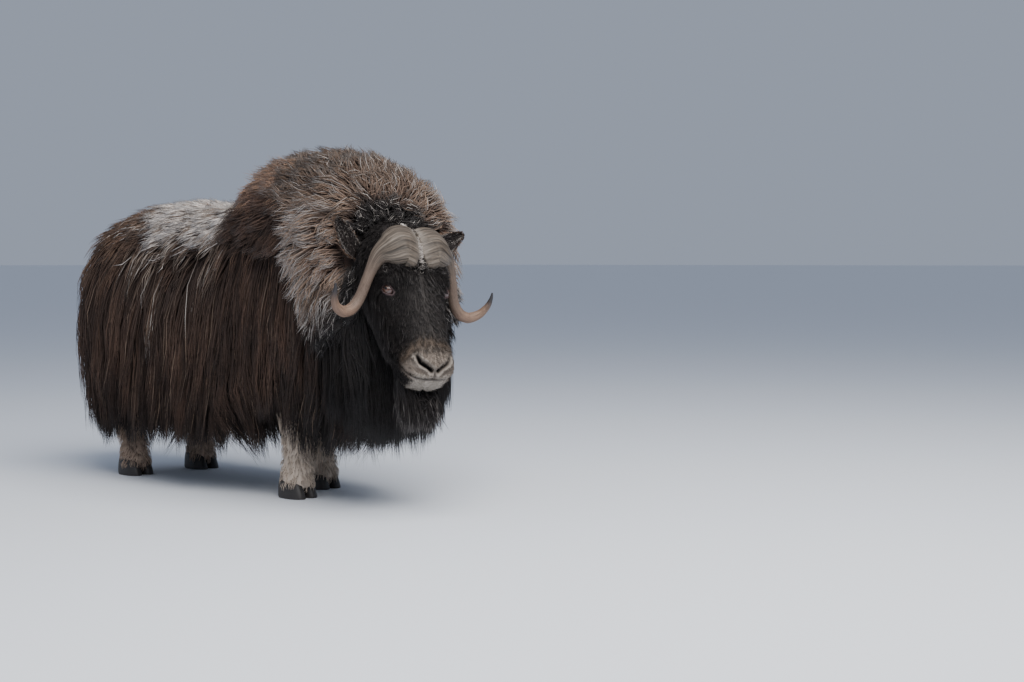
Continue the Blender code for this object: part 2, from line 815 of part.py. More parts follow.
def mane_locks(tree, draw):
    """Clumps of the mane over the neck, and the long hair of the throat."""
    made = []
    for number, (x, length, width, lift, count) in enumerate(MANE_ROWS):
        y, z, half, reach_up, reach_down = table_row(NECK_ROWS, x)
        centre = Vector((x, y, z))
        for k in range(count):
            turn = (k + 0.5 * (number % 2)) / (count - 0.5)
            angle = math.radians(MANE_START + (180.0 - 2 * MANE_START) * turn)
            way = Vector((0.10, math.cos(angle), math.sin(angle))).normalized()
            root, normal, _, _ = tree.ray_cast(centre + way * TIER_REACH, -way)
            if root is None:
                continue
            side = abs(math.cos(angle))
            lie = BACK * (1.0 - 0.25 * side) + DOWN * (0.80 * side)
            tip = lift * draw.uniform(0.85, 1.12)
            lock = flat_lock(tree, root, normal, lie, length, width, tip, draw, 0.0, 2, MANE_THICKNESS)
            made.append(lock)
    return made


def throat_locks(tree, draw):
    """Long locks that hang from the sides and the underside of the neck."""
    made = []
    for x, height, length, lift in THROAT_SIDE_ROWS:
        for side in (-1.0, 1.0):
            root, normal = cast_root(tree, x, side * TIER_REACH, height, Vector((0.0, -side, 0.0)))
            if root is not None:
                lock = flat_lock(tree, root, normal, DOWN, length, THROAT_WIDTH, lift, draw, THROAT_HANG)
                made.append(lock)
    for x, length in THROAT_ROWS:
        y, z, half, reach_up, reach_down = table_row(NECK_ROWS, x)
        for k in range(THROAT_COUNT):
            place = k - (THROAT_COUNT - 1) / 2
            across = place / THROAT_COUNT * THROAT_SPREAD * half
            start = Vector((x - THROAT_BOW * abs(place), y + across, -1.0))
            root, normal, _, _ = tree.ray_cast(start, UP)
            if root is None:
                continue
            outer = Vector((THROAT_LEAN[0], across * THROAT_LEAN[1], 0.0))
            reach = length * draw.uniform(0.90, 1.06)
            made.append(hanging_lock(root, outer, reach, THROAT_WIDTH, draw))
    return made


def hanging_lock(root, outer, length, width, draw, thickness=0.024, flare=0.045):
    """A lock that hangs straight down from an underside and leans outward a little."""
    outer = Vector((outer.x, outer.y, 0.0)).normalized()
    wide = Vector((-outer.y, outer.x, 0.0))
    sway = draw.uniform(-0.02, 0.02)
    rings = []
    for share, half, deep in ((-0.12, 0.40, 0.6), (0.35, 0.50, 0.5), (0.72, 0.34, 0.35)):
        lean = flare * max(share, 0.0) ** 1.5
        centre = root + DOWN * length * share + outer * lean + wide * sway * max(share, 0.0)
        centre.z = max(centre.z, LOCK_FLOOR)
        rings.append([
            centre + wide * half * width - outer * deep * thickness * 0.6,
            centre + outer * deep * thickness,
            centre - wide * half * width - outer * deep * thickness * 0.6,
        ])
    end = root + DOWN * length + outer * flare + wide * sway
    end.z = max(end.z, LOCK_FLOOR)
    return loft("lock", rings, tip=end)


def make_neck(materials):
    """The neck with its mane, cut to the torso's plane and hollowed for the head."""
    draw = random.Random(SEED + 1)
    guide = neck_core("guide", None)
    tree = surface_tree(guide)
    locks = mane_locks(tree, draw) + throat_locks(tree, draw)
    remove([guide])
    neck = neck_core("neck", materials["mane"])
    join_all(neck, locks)
    middle, normal = neck_plane()
    keep_side(neck, middle + normal * GAP, normal)
    for form in [head_core("head_cutter", None)] + cheek_locks():
        combine(neck, inflated(form), "DIFFERENCE", "MANIFOLD")
    for name, side in SIDES.items():
        combine(neck, inflated(loft("ear_cutter", ear_rings(name, False))), "DIFFERENCE", "MANIFOLD")
        combine(neck, inflated(horn_form("horn_cutter", side)), "DIFFERENCE", "MANIFOLD")
    keep_largest(neck)
    return neck


def head_ring(u):
    """Section of head and jaw across the face's direction."""
    half, face, throat = table_row(HEAD_ROWS, u)
    ring = []
    for k in range(HEAD_SIDES):
        angle = 2 * math.pi * (k + 0.5) / HEAD_SIDES
        across, along = squared(angle, HEAD_SQUARENESS)
        reach = face if along > 0 else throat
        ring.append(head_point(u, half * across, reach * along))
    return ring


def head_core(name, material):
    """Head and jaw in one closed loft."""
    stations = spread(HEAD_ROWS[0][0], HEAD_ROWS[-1][0], HEAD_STATIONS, 0.5)
    return loft(name, [head_ring(u) for u in stations], material)


def ball(name, centre, radii, axes, segments, rings, material=None):
    """A closed ellipsoid with its own three directions."""
    work = bmesh.new()
    bmesh.ops.create_uvsphere(work, u_segments=segments, v_segments=rings, radius=1.0)
    vertices = []
    for vertex in work.verts:
        place = centre.copy()
        for axis, radius, value in zip(axes, radii, vertex.co):
            place += axis * radius * value
        vertices.append(place)
    faces = [tuple(v.index for v in face.verts) for face in work.faces]
    work.free()
    return mesh_object(name, vertices, faces, material)


def tube(name, centres, radii, sides=6):
    """A closed round tube through points, on frames carried along the path."""
    rings = []
    before = None
    wide = None
    for k, centre in enumerate(centres):
        ahead = centres[min(k + 1, len(centres) - 1)] - centres[max(k - 1, 0)]
        ahead = ahead.normalized()
        if before is None:
            wide = ahead.cross(UP if abs(ahead.z) < 0.8 else BACK).normalized()
        else:
            wide = (wide - ahead * wide.dot(ahead)).normalized()
        before = ahead
        deep = ahead.cross(wide)
        ring = []
        for s in range(sides):
            angle = 2 * math.pi * s / sides
            ring.append(centre + (wide * math.cos(angle) + deep * math.sin(angle)) * radii[k])
        rings.append(ring)
    return loft(name, rings)


def jaw_region(inflate):
    """The block in front of the mouth's corner and under the mouth's line."""
    corner = Vector((MOUTH_CORNER[0], 0.0, MOUTH_CORNER[1]))
    front = Vector((MOUTH_FRONT[0], 0.0, MOUTH_FRONT[1]))
    line = (front - corner).normalized()
    above = Vector((-line.z, 0.0, line.x))
    start = corner - line * inflate + above * inflate
    end = front + line * 0.1 + above * inflate
    low = above * JAW_BLOCK_DEPTH
    outline = [start, end, end - low, start - low - line * 0.05]
    vertices = []
    for v in (-JAW_BLOCK_HALF_WIDTH, JAW_BLOCK_HALF_WIDTH):
        vertices += [head_point(p.x, v, p.z) for p in outline]
    faces = [(0, 1, 2, 3), (7, 6, 5, 4), (0, 4, 5, 1), (1, 5, 6, 2), (2, 6, 7, 3), (3, 7, 4, 0)]
    return mesh_object("jaw_region", vertices, faces)


def lip_tube(offset):
    """A soft roll along one side of the mouth's line, round the front of the muzzle."""
    corner = Vector((MOUTH_CORNER[0], 0.0, MOUTH_CORNER[1]))
    front = Vector((MOUTH_FRONT[0], 0.0, MOUTH_FRONT[1]))
    line = (front - corner).normalized()
    above = Vector((-line.z, 0.0, line.x))
    centres = []
    last = LIP_STATIONS - 1
    for k in range(LIP_STATIONS):
        turn = math.pi * (k / last - 0.5)
        reach = LIP_REACH * math.cos(turn) ** 0.8
        base = corner + line * (reach + 0.012) + above * offset
        half, face, throat = table_row(HEAD_ROWS, min(base.x, 0.550))
        level = base.z
        limit = face if level > 0 else throat
        inside = max(0.0, 1.0 - abs(level / limit) ** HEAD_SQUARENESS) ** (1.0 / HEAD_SQUARENESS)
        edge = (half * inside - LIP_RADIUS * 0.35) * math.sin(turn)
        centres.append(head_point(base.x - 0.004, edge, base.z))
    radii = [LIP_RADIUS * (0.55 + 0.45 * math.sin(math.pi * k / last)) for k in range(LIP_STATIONS)]
    return tube("lip", centres, radii)


def horn_rings(side):
    """Sections of a horn from its boss to its tip, on frames carried along it."""
    centres = []
    sizes = []
    for k in range(HORN_STATIONS):
        t = k / (HORN_STATIONS - 1) * (len(HORN_ROWS) - 1)
        rows = tuple((number, *row) for number, row in enumerate(HORN_ROWS))
        u, v, w, wide, deep = table_row(rows, t)
        centres.append(head_point(u, side * v, w))
        sizes.append((wide, deep))
    rings = []
    across = HEAD_U.copy()
    for k, centre in enumerate(centres):
        ahead = centres[min(k + 1, HORN_STATIONS - 1)] - centres[max(k - 1, 0)]
        ahead = ahead.normalized()
        across = (across - ahead * across.dot(ahead)).normalized()
        out = ahead.cross(across).normalized() * side
        wide, deep = sizes[k]
        ring = []
        for s in range(HORN_SIDES):
            angle = 2 * math.pi * (s + 0.5) / HORN_SIDES
            ring.append(centre + across * wide * math.cos(angle) + out * deep * math.sin(angle))
        rings.append(ring)
    return rings


def ear_leaf(side_name):
    """Base, tip and directions of an ear's leaf: along, toward its opening, across."""
    side = SIDES[side_name]
    base = head_point(EAR_BASE[0], side * EAR_BASE[1], EAR_BASE[2])
    tip_u, tip_v, tip_w = EAR_TIPS[side_name]
    tip = head_point(tip_u, side * tip_v, tip_w)
    along = (tip - base).normalized()
    out = (HEAD_W * 0.9 + HEAD_U * 0.25 - HEAD_V * side * 0.15)
    out = (out - along * out.dot(along)).normalized()
    wide = along.cross(out).normalized()
    return base, tip, along, out, wide


def ear_rings(side_name, inner):
    """Sections of an ear: a leaf, thick at the root and closing at its tip."""
    base, tip, along, out, wide = ear_leaf(side_name)
    length = (tip - base).length
    rings = []
    for k in range(EAR_STATIONS):
        t = k / (EAR_STATIONS - 1)
        t = EAR_CUP_FROM + (EAR_CUP_TO - EAR_CUP_FROM) * t if inner else t
        half = EAR_HALF_WIDTH * (0.62 + 0.38 * math.sin(math.pi * min(t * 1.15, 1.0)))
        half *= math.sqrt(max(1.0 - max(t - 0.45, 0.0) ** 2 / 0.33, 0.02))
        deep = EAR_THICKNESS * (1.0 - 0.45 * t)
        centre = base + along * length * t + out * EAR_BEND * (t * t)
        if inner:
            half *= EAR_CUP_WIDTH
            centre = centre + out * (EAR_THICKNESS * EAR_CUP_OUT)
            deep *= EAR_CUP_DEPTH
        ring = []
        for s in range(EAR_SIDES):
            angle = 2 * math.pi * s / EAR_SIDES
            ring.append(centre + wide * half * math.cos(angle) + out * deep * math.sin(angle))
        rings.append(ring)
    return rings


def lid_rings(side):
    """Upper and lower lid as two curved rolls over the eyeball's rim."""
    centre = head_point(EYE_PLACE[0], side * EYE_PLACE[1], EYE_PLACE[2])
    look = (HEAD_V * side * 0.80 + HEAD_W * 0.60).normalized()
    level = HEAD_U.copy()
    level = (level - look * level.dot(look)).normalized()
    rise = look.cross(level).normalized()
    lids = []
    for sign in (-1.0, 1.0):
        centres = []
        radii = []
        count = 7
        for k in range(count):
            turn = math.pi * k / (count - 1)
            reach = math.cos(turn) * EYE_RADIUS * 1.22
            bulge = math.sin(turn) * EYE_RADIUS * 0.66 * sign
            depth = EYE_RADIUS * (0.42 + 0.42 * math.sin(turn))
            centres.append(centre + rise * reach + level * bulge + look * depth)
            radii.append(LID_RADIUS * (0.55 + 0.45 * math.sin(turn)))
        lids.append(tube("lid", centres, radii))
    return lids


def cheek_locks():
    """Locks that fall from the cheeks and the corner of the jaw."""
    draw = random.Random(SEED + 2)
    width, lift, hang = CHEEK_SIZES
    guide = head_core("guide", None)
    tree = surface_tree(guide)
    remove([guide])
    made = []
    for side in (-1.0, 1.0):
        for u, w, length in CHEEK_ROWS:
            start = head_point(u, side * 1.0, w)
            root, normal, _, _ = tree.ray_cast(start, -HEAD_V * side)
            if root is None:
                continue
            made.append(flat_lock(tree, root, normal, DOWN, length, width, lift, draw, hang, 2))
    return made


def make_head(materials):
    """The head with sockets, nostrils, lips and lids, and the jaw parted from it."""
    head = head_core("head", materials["face"])
    pieces = cheek_locks()
    pieces += lid_rings(-1.0) + lid_rings(1.0)
    pieces.append(lip_tube(LIP_RADIUS * 0.75 + MOUTH_OPEN * 0.5))
    join_all(head, pieces)
    combine(head, jaw_region(GAP), "DIFFERENCE", "MANIFOLD")
    for side in SIDES.values():
        centre = head_point(EYE_PLACE[0], side * EYE_PLACE[1], EYE_PLACE[2])
        radius = EYE_RADIUS + CLEAR
        socket = ball("socket", centre, (radius,) * 3, (HEAD_U, HEAD_V, HEAD_W), *EYE_GRID)
        combine(head, socket, "DIFFERENCE", "MANIFOLD")
        slant = (HEAD_U * 0.68 + HEAD_V * side * -0.72 - HEAD_W * 0.13).normalized()
        depth = (HEAD_U * -0.62 + HEAD_W * -0.60 - HEAD_V * side * 0.35)
        depth = (depth - slant * depth.dot(slant)).normalized()
        narrow = slant.cross(depth).normalized()
        place = head_point(NOSTRIL_PLACE[0], side * NOSTRIL_PLACE[1], NOSTRIL_PLACE[2])
        pocket = ball("nostril", place, NOSTRIL_SIZE, (slant, narrow, depth), *NOSTRIL_GRID)
        combine(head, pocket, "DIFFERENCE", "MANIFOLD")
        horn = inflated(horn_form("horn_cutter", side))
        combine(head, horn, "DIFFERENCE", "MANIFOLD")
    for name in SIDES:
        cutter = inflated(loft("ear_cutter", ear_rings(name, False)))
        combine(head, cutter, "DIFFERENCE", "MANIFOLD")
    keep_largest(head)
    return head


def make_jaw(materials):
    """The lower jaw with its lip and the beard that hangs from it."""
    draw = random.Random(SEED + 3)
    jaw = head_core("lower_jaw", materials["face"])
    tree = surface_tree(jaw)
    combine(jaw, jaw_region(-GAP), "INTERSECT", "MANIFOLD")
    pieces = []
    for u, length, count in BEARD_ROWS:
        for k in range(count):
            v = (k - (count - 1) / 2) * BEARD_SPACING
            start = head_point(u, v, -1.0)
            root, normal, _, _ = tree.ray_cast(start, HEAD_W)
            if root is None:
                continue
            outer = HEAD_W + HEAD_V * v * BEARD_FAN
            reach = length * draw.uniform(0.92, 1.06)
            pieces.append(hanging_lock(root, outer, reach, BEARD_WIDTH, draw, flare=BEARD_FLARE))
    join_all(jaw, pieces)
    keep_largest(jaw)
    return jaw


def make_ears(materials):
    """Both ears, each with its cup cut out."""
    made = []
    for name in SIDES:
        ear = loft("ear_" + name, ear_rings(name, False), materials["face"])
        cup = loft("cup", ear_rings(name, True))
        combine(ear, cup, "DIFFERENCE", "MANIFOLD")
        keep_largest(ear)
        made.append(ear)
    return made


def horn_form(name, side, material=None):
    """One sweep from the boss to the tip, kept to its own side of the groove."""
    horn = loft(name, horn_rings(side), material)
    keep_side(horn, head_point(0.0, side * BOSS_GROOVE * 0.5, 0.0), HEAD_V * side)
    return horn


def make_horns(materials):
    """Both horns with their bosses."""
    for name, side in SIDES.items():
        horn_form("horn_" + name, side, materials["horn"])


def make_eyes(materials):
    """Both eyeballs in their sockets."""
    for name, side in SIDES.items():
        centre = head_point(EYE_PLACE[0], side * EYE_PLACE[1], EYE_PLACE[2])
        ball("eye_" + name, centre, (EYE_RADIUS,) * 3, (HEAD_U, HEAD_V, HEAD_W), *EYE_GRID, materials["eye"])


def hoof_rings(place, side):
    """One claw of a hoof: flat sole, sloping front, straight inner wall."""
    rings = []
    for z, scale in HOOF_ROWS:
        ring = []
        for k in range(HOOF_SIDES):
            angle = 2 * math.pi * k / HOOF_SIDES
            across, along = squared(angle, HOOF_SQUARENESS)
            x = HOOF_LENGTH * 0.5 * scale * across - z * HOOF_SLOPE
            y = HOOF_WIDTH * 0.5 * scale * along
            y += side * (HOOF_WIDTH * 0.5 + HOOF_SPLIT * 0.5)
            if side * (y - side * HOOF_SPLIT * 0.5) < 0.0:
                y = side * HOOF_SPLIT * 0.5
            narrow = 1.0 - HOOF_NARROWING * max(across, 0.0) ** 2
            y = side * HOOF_SPLIT * 0.5 + (y - side * HOOF_SPLIT * 0.5) * narrow
            ring.append(Vector((place[0] + HOOF_FORWARD + x, place[1] + y, z)))
        rings.append(ring)
    return rings


def make_legs(materials):
    """Four legs below the coat, each on two claws."""
    for name, place in FOOT_PLACES.items():
        loft(name, limb_rings(name), materials["leg_fur"])
        away = math.copysign(1.0, place[1])
        for claw, side in (("outer", away), ("inner", -away)):
            label = name.replace("leg", "hoof") + "_" + claw
            loft(label, hoof_rings(place, side), materials["hoof"])


def tail_form(name, material=None):
    """The short tail, shaped to the rump's core behind it."""
    rings = []
    for share, size in TAIL_ROWS:
        centre = TAIL_ROOT + DOWN * TAIL_LENGTH * share + BACK * TAIL_SLANT * share
        ring = []
        for k in range(TAIL_SIDES):
            angle = 2 * math.pi * k / TAIL_SIDES
            x = TAIL_HALF_DEPTH * size * math.cos(angle)
            ring.append(centre + Vector((x, TAIL_HALF_WIDTH * size * math.sin(angle), 0.0)))
        rings.append(ring)
    end = TAIL_ROOT + DOWN * TAIL_LENGTH + BACK * TAIL_SLANT
    tail = loft(name, rings, material, tip=end)
    combine(tail, inflated(torso_core("rump", None)), "DIFFERENCE", "MANIFOLD")
    keep_largest(tail)
    return tail


def centre_on_floor():
    """Moves everything so that the box's bottom centre is the origin."""
    points = []
    for item in bpy.data.objects:
        points += [item.matrix_world @ vertex.co for vertex in item.data.vertices]
    low = Vector([min(p[axis] for p in points) for axis in range(3)])
    high = Vector([max(p[axis] for p in points) for axis in range(3)])
    shift = Vector((-(low.x + high.x) / 2, -(low.y + high.y) / 2, -low.z))
    for item in bpy.data.objects:
        for vertex in item.data.vertices:
            vertex.co += shift


clear_scene()
MATERIALS = make_materials()
make_torso(MATERIALS)
make_neck(MATERIALS)
make_head(MATERIALS)
make_jaw(MATERIALS)
make_ears(MATERIALS)
make_horns(MATERIALS)
make_eyes(MATERIALS)
make_legs(MATERIALS)
tail_form("tail", MATERIALS["coat"])
centre_on_floor()
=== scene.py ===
"""The looks of a standing bull muskox: skin, coat, horns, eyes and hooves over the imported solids.

All forms are made in the animal's own frame, +X forward, +Y to its left, the floor at z = 0,
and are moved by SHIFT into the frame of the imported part.
"""
import math

import bmesh
import bpy
import numpy as np
from mathutils import Matrix, Vector
from mathutils.bvhtree import BVHTree
from mathutils.kdtree import KDTree


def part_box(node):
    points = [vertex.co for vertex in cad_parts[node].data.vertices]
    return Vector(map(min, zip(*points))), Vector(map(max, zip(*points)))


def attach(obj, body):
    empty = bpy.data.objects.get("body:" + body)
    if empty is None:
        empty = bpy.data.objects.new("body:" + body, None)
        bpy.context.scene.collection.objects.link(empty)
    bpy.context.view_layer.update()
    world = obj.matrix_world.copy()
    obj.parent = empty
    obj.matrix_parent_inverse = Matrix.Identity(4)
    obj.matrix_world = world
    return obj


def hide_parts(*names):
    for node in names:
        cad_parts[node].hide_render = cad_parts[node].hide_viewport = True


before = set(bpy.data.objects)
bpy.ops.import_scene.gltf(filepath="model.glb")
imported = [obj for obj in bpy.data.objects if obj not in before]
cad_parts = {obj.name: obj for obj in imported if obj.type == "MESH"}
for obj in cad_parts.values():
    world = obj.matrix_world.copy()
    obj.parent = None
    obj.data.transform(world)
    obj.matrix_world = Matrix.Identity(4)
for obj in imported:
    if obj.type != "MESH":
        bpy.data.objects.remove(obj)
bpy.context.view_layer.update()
RNG = np.random.default_rng(11)

# Share of the strands that are grown
FEW = 1.0

# Camera, from the photo: 55 mm on a 36 mm frame, a little under a metre above the snow
CAMERA_PLACE = (5.1061, -4.1908, 0.94)
CAMERA_AZIMUTH = 42.0
CAMERA_DIP = 2.8908
CAMERA_LENS = 55.0

# The solids' driving sizes, kept the same here
HEAD_ORIGIN = np.array((0.896, -0.143, 1.001))
HEAD_YAW = math.radians(-19.1)
HEAD_PITCH = math.radians(62.5)
HEAD_ROLL = math.radians(-7.9)
EYE_PLACE = (0.212, 0.119, 0.042)
EYE_RADIUS = 0.0205
LID_HALF_LENGTH = 0.0270
LID_HALF_HEIGHT = 0.0150
NECK_PLANE_TOP = np.array((0.270, 0.0, 1.380))
NECK_PLANE_LOW = np.array((0.530, 0.0, 0.620))

# skin of the torso: x, top, widest height, bottom, half width
TORSO_ROWS = (
    (-1.022, 0.830, 0.740, 0.600, 0.030),
    (-0.997, 0.950, 0.740, 0.480, 0.170),
    (-0.905, 1.050, 0.740, 0.415, 0.272),
    (-0.745, 1.115, 0.740, 0.400, 0.316),
    (-0.450, 1.138, 0.740, 0.400, 0.322),
    (-0.200, 1.120, 0.740, 0.410, 0.314),
    (-0.060, 1.128, 0.750, 0.415, 0.304),
    (0.080, 1.182, 0.760, 0.425, 0.298),
    (0.250, 1.252, 0.760, 0.435, 0.293),
    (0.400, 1.235, 0.760, 0.450, 0.278),
    (0.520, 1.110, 0.740, 0.490, 0.230),
    (0.580, 0.930, 0.720, 0.570, 0.110),
)
TORSO_SQUARENESS = 2.35

# skin of the neck: x, y, z of the centre, half width, reach up, reach down
NECK_ROWS = (
    (0.250, 0.000, 0.960, 0.270, 0.315, 0.320),
    (0.420, -0.005, 0.960, 0.272, 0.330, 0.345),
    (0.540, -0.020, 0.955, 0.272, 0.330, 0.380),
    (0.640, -0.045, 0.945, 0.266, 0.310, 0.385),
    (0.730, -0.068, 0.935, 0.258, 0.288, 0.350),
    (0.800, -0.088, 0.930, 0.230, 0.250, 0.290),
    (0.845, -0.110, 0.925, 0.165, 0.180, 0.200),
)
NECK_END_AXIS = np.array((0.970, -0.170, 0.160))

# head: u from poll to nose, half width, face side, throat side
HEAD_ROWS = (
    (-0.085, 0.040, 0.020, 0.070),
    (-0.065, 0.085, 0.050, 0.110),
    (-0.010, 0.122, 0.073, 0.142),
    (0.070, 0.142, 0.088, 0.157),
    (0.150, 0.141, 0.095, 0.160),
    (0.220, 0.128, 0.090, 0.157),
    (0.310, 0.112, 0.081, 0.142),
    (0.400, 0.098, 0.073, 0.122),
    (0.460, 0.097, 0.071, 0.108),
    (0.510, 0.090, 0.060, 0.095),
    (0.543, 0.069, 0.037, 0.076),
    (0.556, 0.034, 0.012, 0.050),
)
HEAD_SQUARENESS = 2.25
MOUTH_CORNER = (0.385, -0.052)
MOUTH_FRONT = (0.600, 0.041)

HORN_ROWS = (
    (0.072, 0.014, 0.098, 0.074, 0.022),
    (0.068, 0.030, 0.106, 0.083, 0.036),
    (0.060, 0.066, 0.108, 0.082, 0.042),
    (0.074, 0.106, 0.091, 0.066, 0.040),
    (0.090, 0.143, 0.068, 0.036, 0.030),
    (0.127, 0.168, 0.041, 0.0230, 0.0225),
    (0.169, 0.186, 0.014, 0.0200, 0.0195),
    (0.214, 0.203, -0.020, 0.0205, 0.0200),
    (0.250, 0.231, -0.040, 0.0215, 0.0210),
    (0.266, 0.269, -0.042, 0.0205, 0.0200),
    (0.259, 0.308, -0.021, 0.0170, 0.0165),
    (0.241, 0.330, 0.010, 0.0120, 0.0120),
    (0.222, 0.336, 0.035, 0.0075, 0.0075),
    (0.202, 0.338, 0.051, 0.0030, 0.0030),
)
BOSS_GROOVE = 0.010

EAR_BASE = (0.016, 0.148, -0.066)
EAR_TIPS = {"right": (-0.078, 0.262, -0.008), "left": (-0.070, 0.288, -0.026)}
EAR_HALF_WIDTH = 0.050

FOOT_PLACES = {
    "foreleg_right": (0.300, -0.140),
    "foreleg_left": (0.165, 0.105),
    "hindleg_right": (-0.768, -0.170),
    "hindleg_left": (-0.725, 0.155),
}
FORELEG_ROWS = (
    (0.040, 0.004, 0.062, 0.059),
    (0.075, 0.004, 0.064, 0.061),
    (0.110, 0.002, 0.060, 0.056),
    (0.170, 0.000, 0.053, 0.049),
    (0.260, 0.000, 0.057, 0.053),
    (0.330, -0.005, 0.067, 0.060),
    (0.420, -0.010, 0.082, 0.069),
    (0.560, -0.015, 0.105, 0.080),
)
HINDLEG_ROWS = (
    (0.040, 0.006, 0.058, 0.056),
    (0.075, 0.006, 0.060, 0.057),
    (0.110, 0.000, 0.057, 0.051),
    (0.170, -0.018, 0.054, 0.046),
    (0.260, -0.045, 0.063, 0.050),
    (0.340, -0.070, 0.077, 0.057),
    (0.420, -0.075, 0.091, 0.065),
    (0.560, -0.060, 0.125, 0.085),
)
HOOF_LENGTH = 0.134
HOOF_WIDTH = 0.062
HOOF_SPLIT = 0.006
HOOF_ROWS = ((0.0, 1.0), (0.010, 1.02), (0.042, 0.92), (0.0697, 0.78))
TAIL_ROOT = np.array((-1.000, 0.0, 0.945))

SIDES = {"right": -1.0, "left": 1.0}
DOWN = np.array((0.0, 0.0, -1.0))

# Strands: triangles a piece may have, depth of the roots, flatness, size of a strand's patch of the
# unwrap, and width along a strand for each number of rings
PIECE_TRIANGLES = 195000
ROOT_DEPTH = 0.004
STRAND_FLATNESS = 0.55
PATCH_SIZE = 0.003
TAPERS = {2: (1.0, 0.7), 3: (1.0, 0.9, 0.6), 4: (0.9, 1.0, 0.85, 0.5)}


def unit(a):
    """Vectors of length one along the last axis."""
    a = np.asarray(a, float)
    return a / np.maximum(np.linalg.norm(a, axis=-1, keepdims=True), 1e-9)


NECK_NORMAL = unit((NECK_PLANE_TOP[2] - NECK_PLANE_LOW[2], 0.0, NECK_PLANE_LOW[0] - NECK_PLANE_TOP[0]))


def smooth_step(low, high, x):
    """Rises smoothly from 0 to 1 between low and high."""
    t = np.clip((np.asarray(x, float) - low) / (high - low), 0.0, 1.0)
    return t * t * (3 - 2 * t)


def bell(distance, size):
    """A smooth bump over distance."""
    return np.exp(-(np.asarray(distance) / size) ** 2)


def table_row(rows, x):
    """The columns of a table at x, on smooth curves through its rows."""
    last = len(rows) - 1
    index = 0
    while index < last - 1 and x > rows[index + 1][0]:
        index += 1
    left, right = np.array(rows[index]), np.array(rows[index + 1])
    before = np.array(rows[max(index - 1, 0)])
    after = np.array(rows[min(index + 2, last)])
    span = right[0] - left[0]
    t = min(max((x - left[0]) / span, 0.0), 1.0)
    rise = (right - left)[1:]
    slope_in = ((right - before) / (right[0] - before[0]) * span)[1:]
    slope_out = ((after - left) / (after[0] - left[0]) * span)[1:]
    slope_in = np.where(slope_in * rise <= 0, 0, slope_in)
    slope_out = np.where(slope_out * rise <= 0, 0, slope_out)
    a = 2 * t ** 3 - 3 * t ** 2 + 1
    b = t ** 3 - 2 * t ** 2 + t
    c = -2 * t ** 3 + 3 * t ** 2
    d = t ** 3 - t ** 2
    return a * left[1:] + b * slope_in + c * right[1:] + d * slope_out


def head_axes():
    """Directions of the head: along the face, to its left, and out of the face."""
    yc, ys = math.cos(HEAD_YAW), math.sin(HEAD_YAW)
    pc, ps = math.cos(HEAD_PITCH), math.sin(HEAD_PITCH)
    u = np.array((pc * yc, pc * ys, -ps))
    w = np.array((ps * yc, ps * ys, pc))
    v = np.array((-ys, yc, 0.0))
    rc, rs = math.cos(HEAD_ROLL), math.sin(HEAD_ROLL)
    return u, v * rc + w * rs, w * rc - v * rs


HEAD_U, HEAD_V, HEAD_W = head_axes()
HEAD_TURN = np.stack([HEAD_U, HEAD_V, HEAD_W])


def head_point(u, v, w):
    """World place of points given in the head's own directions."""
    local = np.stack(np.broadcast_arrays(np.asarray(u, float), v, w), -1)
    return HEAD_ORIGIN + local @ HEAD_TURN


def head_local(p):
    """The head's own coordinates of world points."""
    return (np.asarray(p) - HEAD_ORIGIN) @ HEAD_TURN.T


low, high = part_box("eye_right")
SHIFT = np.array((low + high) / 2) - head_point(EYE_PLACE[0], -EYE_PLACE[1], EYE_PLACE[2])


def lattice(i, j, k, seed):
    """Repeatable pseudo-random values between 0 and 1 at whole-number places."""
    n = (i * 73856093) ^ (j * 19349663) ^ (k * 83492791) ^ (seed * 2654435761)
    n = (n ^ (n >> 13)) * 1274126177
    n = n ^ (n >> 16)
    return (n & 0xFFFF) / 65535.0


def noise(p, scale, seed=0):
    """Smooth noise between 0 and 1 at points, with the given grain size."""
    q = np.asarray(p, float) / scale
    base = np.floor(q).astype(np.int64)
    f = q - base
    f = f * f * (3 - 2 * f)
    total = 0.0
    for a in (0, 1):
        for b in (0, 1):
            for c in (0, 1):
                weight = ((f[..., 0] if a else 1 - f[..., 0]) * (f[..., 1] if b else 1 - f[..., 1])
                          * (f[..., 2] if c else 1 - f[..., 2]))
                total = total + weight * lattice(base[..., 0] + a, base[..., 1] + b, base[..., 2] + c, seed)
    return total


# Meshes

def make_object(name, points, faces):
    """A smooth linked object from points in the animal's frame."""
    mesh = bpy.data.meshes.new(name)
    mesh.from_pydata((np.asarray(points) + SHIFT).tolist(), [], faces)
    mesh.update()
    item = bpy.data.objects.new(name, mesh)
    bpy.context.scene.collection.objects.link(item)
    mesh.polygons.foreach_set("use_smooth", [True] * len(mesh.polygons))
    return item


def ring_faces(levels, sides):
    """Faces of a closed skin over rings."""
    faces = []
    for level in range(levels - 1):
        a, b = level * sides, (level + 1) * sides
        for k in range(sides):
            n = (k + 1) % sides
            faces.append((a + k, a + n, b + n, b + k))
    faces.append(tuple(reversed(range(sides))))
    faces.append(tuple(range((levels - 1) * sides, levels * sides)))
    return faces


def turn_outward(item):
    """Turns all faces of an object to the outside."""
    work = bmesh.new()
    work.from_mesh(item.data)
    bmesh.ops.recalc_face_normals(work, faces=work.faces)
    work.to_mesh(item.data)
    work.free()


def loft(name, rings):
    """A closed object over rings of equal count."""
    rings = np.asarray(rings)
    item = make_object(name, rings.reshape(-1, 3), ring_faces(len(rings), rings.shape[1]))
    turn_outward(item)
    return item


def squared(angle, power):
    """Cosine and sine of angles, pushed out toward a square."""
    c, s = np.cos(angle), np.sin(angle)
    return np.sign(c) * np.abs(c) ** (2 / power), np.sign(s) * np.abs(s) ** (2 / power)


